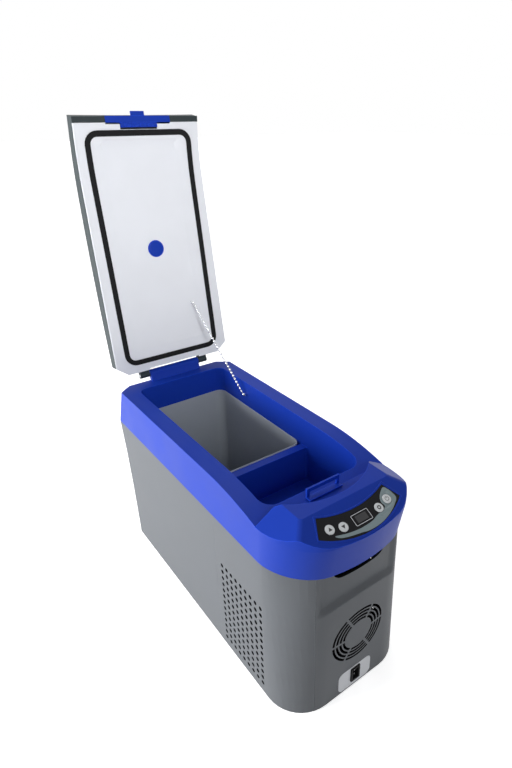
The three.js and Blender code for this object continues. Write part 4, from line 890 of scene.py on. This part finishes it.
def button_cap(x, y):
    """A turned cap with a domed top, on its place in the console."""
    profile = [(0, -5.2), (BUTTON_RADIUS + 1.3, -5.2), (BUTTON_RADIUS + 1.3, -4), (BUTTON_RADIUS, -4),
               (BUTTON_RADIUS, 0.3), (BUTTON_RADIUS - 0.25, 0.65), (BUTTON_RADIUS - 0.8, 0.82),
               (BUTTON_RADIUS - 2.5, BUTTON_TOP), (0, BUTTON_TOP)]
    bm = bmesh.new()
    verts = [bm.verts.new((r, 0, z)) for r, z in profile]
    edges = [bm.edges.new(pair) for pair in zip(verts, verts[1:])]
    bmesh.ops.spin(bm, geom=[*verts, *edges], cent=(0, 0, 0), axis=(0, 0, 1), dvec=(0, 0, 0),
                   angle=2 * math.pi, steps=40, use_merge=True, use_duplicate=False)
    bmesh.ops.remove_doubles(bm, verts=bm.verts, dist=0.0005)
    bmesh.ops.recalc_face_normals(bm, faces=bm.faces)
    bmesh.ops.transform(bm, matrix=CONSOLE @ Matrix.Translation((x, y, 0)), verts=bm.verts)
    return bm


def icon(kind, x, y):
    """A thin printed sign on a button: a triangle, a ring with teeth or a switch sign."""
    low, high = BUTTON_TOP - 0.1, BUTTON_TOP + 0.06
    if kind in ("up", "down"):
        flip = 1 if kind == "up" else -1
        corners = [(x - 3.0, y - flip * 2.1), (x + 3.0, y - flip * 2.1), (x, y + flip * 2.9)]
        return on_console(corners, low, high)
    if kind == "set":
        teeth = [(3.4 if (i // 2) % 2 else 2.7) for i in range(32)]
        outer = [(x + r * math.cos(math.tau * i / 32), y + r * math.sin(math.tau * i / 32))
                 for i, r in enumerate(teeth)]
        return ring_prism(outer, circle_points(1.4, x, y), low, high, CONSOLE)
    outer = circle_points(3.3, x, y, 26, 120, 300)
    inner = circle_points(2.65, x, y, 26, 120, 300)
    bm = on_console([*outer, *reversed(inner)], low, high)
    bar = [(x - 0.32, y + 0.5), (x + 0.32, y + 0.5), (x + 0.32, y + 3.7), (x - 0.32, y + 3.7)]
    add_to(bm, on_console(bar, low, high))
    return bm


def display_outline(inset, corner):
    """The display's outline on the console, moved in by inset."""
    return rounded_outline(-DISPLAY_HALF + inset, DISPLAY_HALF - inset, DISPLAY_LOW + inset,
                           DISPLAY_TOP - inset, corner)


class COOLER_OT_console(bpy.types.Operator):
    """Builds the console plate with its accent sweep, display, buttons and button signs"""
    bl_idname = "cooler.console"
    bl_label = "Console"

    def execute(self, context):
        moulded_copy("console_plate", "control_bezel", "bezel", "cabinet",
                     size("trim_round"))
        accent = to_object(on_console(smooth_outline([*ACCENT_UPPER, *ACCENT_LOWER]), BEZEL_FACE - 0.3,
                                      BEZEL_FACE + 0.05), "accent_sweep")
        seats = bmesh.new()
        for x, y in BUTTON_PLACES.values():
            add_to(seats, on_console(circle_points(BUTTON_RADIUS + 0.3, x, y), -4, 4))
        carve(accent, seats)
        finish(accent, "accent", "cabinet")
        window = on_console(display_outline(0.0, 2.5), -1.3, 0.2)
        finish(to_object(bevel_rim(window, 0.2), "display_glass"), "bezel", "cabinet",
               ("display_window",))
        ring = ring_prism(display_outline(0.3, 1.6), display_outline(0.95, 1.0), 0.1, 0.26, CONSOLE)
        line = to_object(ring, "display_outline")
        finish(line, "white_print", "cabinet")
        screen = rounded_outline(-9.5, 9.5, -32.0, -22.0, 0.6, 3)
        finish(to_object(on_console(screen, 0.1, 0.23), "display_screen"), "print", "cabinet")
        for kind, (x, y) in BUTTON_PLACES.items():
            body = f"button_{kind}"
            cap = to_object(button_cap(x, y), f"cap_{kind}", 50.0)
            finish(cap, "button", body, (body,))
            finish(to_object(icon(kind, x, y), f"sign_{kind}"), "print", body)
        return {"FINISHED"}


# ---- Lid -----------------------------------------------------------------------
BADGE_RADIUS = 15.3
BADGE_Y = 50.0
LID_FACE_Z = 338.0
DISH_DEPTH = 4.0


def badge_disc():
    """A shallow domed disc on the liner's dish, drawn with the lid closed."""
    bm = bmesh.new()
    profile = [(0, -1.3), (5, -1.25), (10, -1.1), (13.2, -0.85), (13.6, -0.6), (14.1, -0.6), (14.5, -0.9),
               (BADGE_RADIUS - 0.3, -0.8), (BADGE_RADIUS, -0.45), (BADGE_RADIUS, 0.0), (0, 0.0)]
    verts = [bm.verts.new((r, 0, z)) for r, z in profile]
    edges = [bm.edges.new(pair) for pair in zip(verts, verts[1:])]
    bmesh.ops.spin(bm, geom=[*verts, *edges], cent=(0, 0, 0), axis=(0, 0, 1), dvec=(0, 0, 0),
                   angle=2 * math.pi, steps=64, use_merge=True, use_duplicate=False)
    bmesh.ops.remove_doubles(bm, verts=bm.verts, dist=0.0005)
    bmesh.ops.recalc_face_normals(bm, faces=bm.faces)
    place = Matrix.Translation((0, BADGE_Y, LID_FACE_Z + DISH_DEPTH - 0.3))
    bmesh.ops.transform(bm, matrix=OPENED @ place, verts=bm.verts)
    return bm


class COOLER_OT_lid(bpy.types.Operator):
    """Builds the lid's outer skin, liner, gasket, badge and latch"""
    bl_idname = "cooler.lid"
    bl_label = "Lid"

    def execute(self, context):
        moulded_copy("lid_skin", "lid_shell", "lid", "lid", size("edge_round"), 3, 0.3, 40.0)
        moulded_copy("lid_inner_skin", "lid_liner", "liner", "lid", size("edge_round"),
                     4, 0.1, 50.0)
        moulded_copy("seal_ring", "lid_gasket", "rubber", "lid", 0.7, 3, 0.1, 50.0)
        moulded_copy("latch_plate", "lid_latch", "collar", "latch", size("trim_round"))
        finish(to_object(badge_disc(), "badge_disc", 30.0), "collar", "lid", ("lid_badge",))
        return {"FINISHED"}


# ---- Chain ---------------------------------------------------------------------
def chain_points(start, end, sag, count):
    """Evenly spaced points on a hanging arc."""
    points = []
    for i in range(count + 1):
        t = i / count
        points.append(start.lerp(end, t) + Vector((0, -0.5, -1)) * sag * 4 * t * (1 - t))
    return points


def chain_mesh(start, end, bead, pitch):
    """Balls on short links from eyelet to eyelet."""
    count = max(2, round((end - start).length / pitch))
    points = chain_points(start, end, 1.6, count)
    bm = bmesh.new()
    for point in points:
        bmesh.ops.create_uvsphere(bm, u_segments=12, v_segments=8, radius=bead / 2,
                                  matrix=Matrix.Translation(point))
    for first, second in zip(points, points[1:]):
        along = second - first
        turn = along.to_track_quat("Z", "Y").to_matrix().to_4x4()
        place = Matrix.Translation(first.lerp(second, 0.5)) @ turn
        bmesh.ops.create_cone(bm, cap_ends=True, segments=8, radius1=0.7, radius2=0.7, depth=along.length,
                              matrix=place)
    return bm


class COOLER_OT_chain(bpy.types.Operator):
    """Builds the ball chain that holds the open lid"""
    bl_idname = "cooler.chain"
    bl_label = "Stay chain"

    def execute(self, context):
        low, high = (Vector(corner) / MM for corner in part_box("stay_chain"))
        start = Vector((high.x - 1.6, low.y + 1.6, low.z + 1.6))
        end = Vector((low.x + 1.6, high.y - 1.6, high.z - 1.6))
        links = chain_mesh(start, end, size("bead_diameter"), size("bead_pitch"))
        chain = to_object(links, "ball_chain", 60.0)
        finish(chain, "metal", None, ("stay_chain",))
        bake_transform(chain)
        return {"FINISHED"}


# ---- Machinery -----------------------------------------------------------------
NODE_FINISHES = {
    "insulation_foam": "foam", "lid_foam": "foam", "evaporator_sheet": "sheet", "condenser": "enamel",
    "compressor": "enamel", "fan_frame": "black", "fan_rotor": "black", "drive_box": "black",
    "filter_drier": "copper", "discharge_pipe": "copper", "suction_pipe": "copper", "power_loom": "rubber",
    "console_board": "board", "inlet_pin_upper": "metal", "inlet_pin_lower": "metal", "hinge_pin": "metal",
    "latch_pin": "metal", "chain_eyelet_cabinet": "metal", "chain_eyelet_lid": "metal",
    "compressor_grommet_1": "rubber", "compressor_grommet_2": "rubber", "compressor_grommet_3": "rubber",
    "compressor_grommet_4": "rubber",
}


class COOLER_OT_machinery(bpy.types.Operator):
    """Gives the cooling machinery and the hidden pieces their finishes"""
    bl_idname = "cooler.machinery"
    bl_label = "Machinery"

    def execute(self, context):
        for node, key in NODE_FINISHES.items():
            NODES[node].data.materials.clear()
            NODES[node].data.materials.append(MATERIALS[key])
        return {"FINISHED"}


# ---- Stage ---------------------------------------------------------------------
def floor_material():
    """Pale floor that the camera sees as white apart from the object's shadow."""
    material, tree, shader, vector = blank_material("studio_floor")
    texture = add_group(tree, "moulded_grain", vector, Scale=60.0)
    base = blend_colour(tree, texture.outputs["Shade"], (0.88, 0.88, 0.89), (0.92, 0.92, 0.92))
    link(tree, base, shader.inputs["Base Color"])
    shader.inputs["Roughness"].default_value = 0.35
    white = tree.nodes.new("ShaderNodeEmission")
    white.inputs["Color"].default_value = (1, 1, 1, 1)
    path = tree.nodes.new("ShaderNodeLightPath")
    seen = maths(tree, "MAXIMUM", path.outputs["Is Camera Ray"], path.outputs["Is Glossy Ray"])
    seen = maths(tree, "MAXIMUM", seen, path.outputs["Is Transmission Ray"])
    link(tree, maths(tree, "MULTIPLY", seen, 0.70), white.inputs["Strength"])
    both = tree.nodes.new("ShaderNodeAddShader")
    link(tree, shader.outputs[0], both.inputs[0])
    link(tree, white.outputs[0], both.inputs[1])
    link(tree, both.outputs[0], tree.nodes["Material Output"].inputs["Surface"])
    return material


def studio_world(strength):
    """Soft surround that the camera and the reflections see as white."""
    world = bpy.data.worlds.new("studio")
    bpy.context.scene.world = world
    world.use_nodes = True
    tree = world.node_tree
    back = tree.nodes["Background"]
    back.inputs["Color"].default_value = (1, 1, 1, 1)
    path = tree.nodes.new("ShaderNodeLightPath")
    seen = maths(tree, "MAXIMUM", path.outputs["Is Camera Ray"], path.outputs["Is Glossy Ray"])
    seen = maths(tree, "MAXIMUM", seen, path.outputs["Is Transmission Ray"])
    level = tree.nodes.new("ShaderNodeMapRange")
    link(tree, seen, level.inputs["Value"])
    level.inputs["To Min"].default_value = strength
    level.inputs["To Max"].default_value = 1.0
    link(tree, level.outputs["Result"], back.inputs["Strength"])


def softbox(name, place, target, size, power, spread=180):
    """A large square lamp aimed at a point, with its spread in degrees."""
    lamp = bpy.data.lights.new(name, "AREA")
    lamp.shape = "SQUARE"
    lamp.size = size
    lamp.energy = power
    lamp.spread = math.radians(spread)
    obj = bpy.data.objects.new(name, lamp)
    obj.location = place
    obj.rotation_euler = (Vector(target) - Vector(place)).to_track_quat("-Z", "Y").to_euler()
    bpy.context.scene.collection.objects.link(obj)


class COOLER_OT_camera(bpy.types.Operator):
    """Sets up the camera in front of the console, to its left and above"""
    bl_idname = "cooler.camera"
    bl_label = "Camera"

    def execute(self, context):
        data = bpy.data.cameras.new("studio_camera")
        data.sensor_fit = "VERTICAL"
        data.sensor_height = 36.0
        data.lens = 25.88
        data.shift_x = -0.0480
        data.shift_y = -0.0061
        data.clip_start = 0.05
        camera = bpy.data.objects.new("studio_camera", data)
        right = Vector((0.7941, -0.6078, -0.0019))
        down = Vector((-0.2647, -0.3430, -0.9013))
        ahead = Vector((0.5471, 0.7162, -0.4333))
        turn = Matrix((right, -down, -ahead)).transposed()
        camera.matrix_world = Matrix.Translation(mm(-423.1, -664.3, 806.7)) @ turn.to_4x4()
        context.scene.collection.objects.link(camera)
        context.scene.camera = camera
        return {"FINISHED"}


class COOLER_OT_stage(bpy.types.Operator):
    """Lays the pale floor and sets the soft studio lamps"""
    bl_idname = "cooler.stage"
    bl_label = "Stage"

    def execute(self, context):
        bm = bmesh.new()
        bmesh.ops.create_grid(bm, x_segments=8, y_segments=8, size=20.0)
        bmesh.ops.translate(bm, vec=(0, 0, CAD_BOUNDS[0][2] - 0.0002), verts=bm.verts)
        floor = to_object(bm, "floor", scale=1.0)
        floor.data.materials.append(floor_material())
        studio_world(0.30)
        centre = (0, 0, 0.25)
        softbox("key_left", (-2.0, 0.75, 0.62), centre, 1.0, 62)
        softbox("fill_front", (-0.2, -2.4, 1.2), (0, 0, 0.4), 1.2, 6)
        softbox("lid_front", (-0.3, -1.3, 1.3), (0, 0.40, 0.66), 0.4, 0.9, 40)
        softbox("top_back", (0.3, 0.9, 2.2), centre, 1.2, 9)
        context.scene.view_settings.view_transform = "Standard"
        return {"FINISHED"}


class COOLER_PT_panel(bpy.types.Panel):
    """Lists the settings and the pieces of the cooler"""
    bl_label = "Portable cooler"
    bl_idname = "COOLER_PT_panel"
    bl_space_type = "VIEW_3D"
    bl_region_type = "UI"
    bl_category = "Cooler"

    def draw(self, context):
        layout = self.layout
        for settings in (context.scene.cooler_sizes, context.scene.cooler_colours):
            box = layout.box()
            for name in type(settings).__annotations__:
                box.prop(settings, name)
        for operator in OPERATORS:
            layout.operator(operator.bl_idname)


OPERATORS = (COOLER_OT_camera, COOLER_OT_cabinet, COOLER_OT_front_panel, COOLER_OT_collar, COOLER_OT_console,
             COOLER_OT_lid, COOLER_OT_chain, COOLER_OT_machinery, COOLER_OT_stage)
CLASSES = (CoolerSizes, CoolerColours, *OPERATORS, COOLER_PT_panel)


def register():
    for cls in CLASSES:
        bpy.utils.register_class(cls)
    bpy.types.Scene.cooler_sizes = bpy.props.PointerProperty(type=CoolerSizes)
    bpy.types.Scene.cooler_colours = bpy.props.PointerProperty(type=CoolerColours)


def unregister():
    del bpy.types.Scene.cooler_colours
    del bpy.types.Scene.cooler_sizes
    for cls in reversed(CLASSES):
        bpy.utils.unregister_class(cls)


def main():
    """Builds the whole scene."""
    register()
    make_materials()
    for operator in OPERATORS:
        group, name = operator.bl_idname.split(".")
        getattr(getattr(bpy.ops, group), name)()
    bpy.context.view_layer.update()


if __name__ == "__main__":
    main()
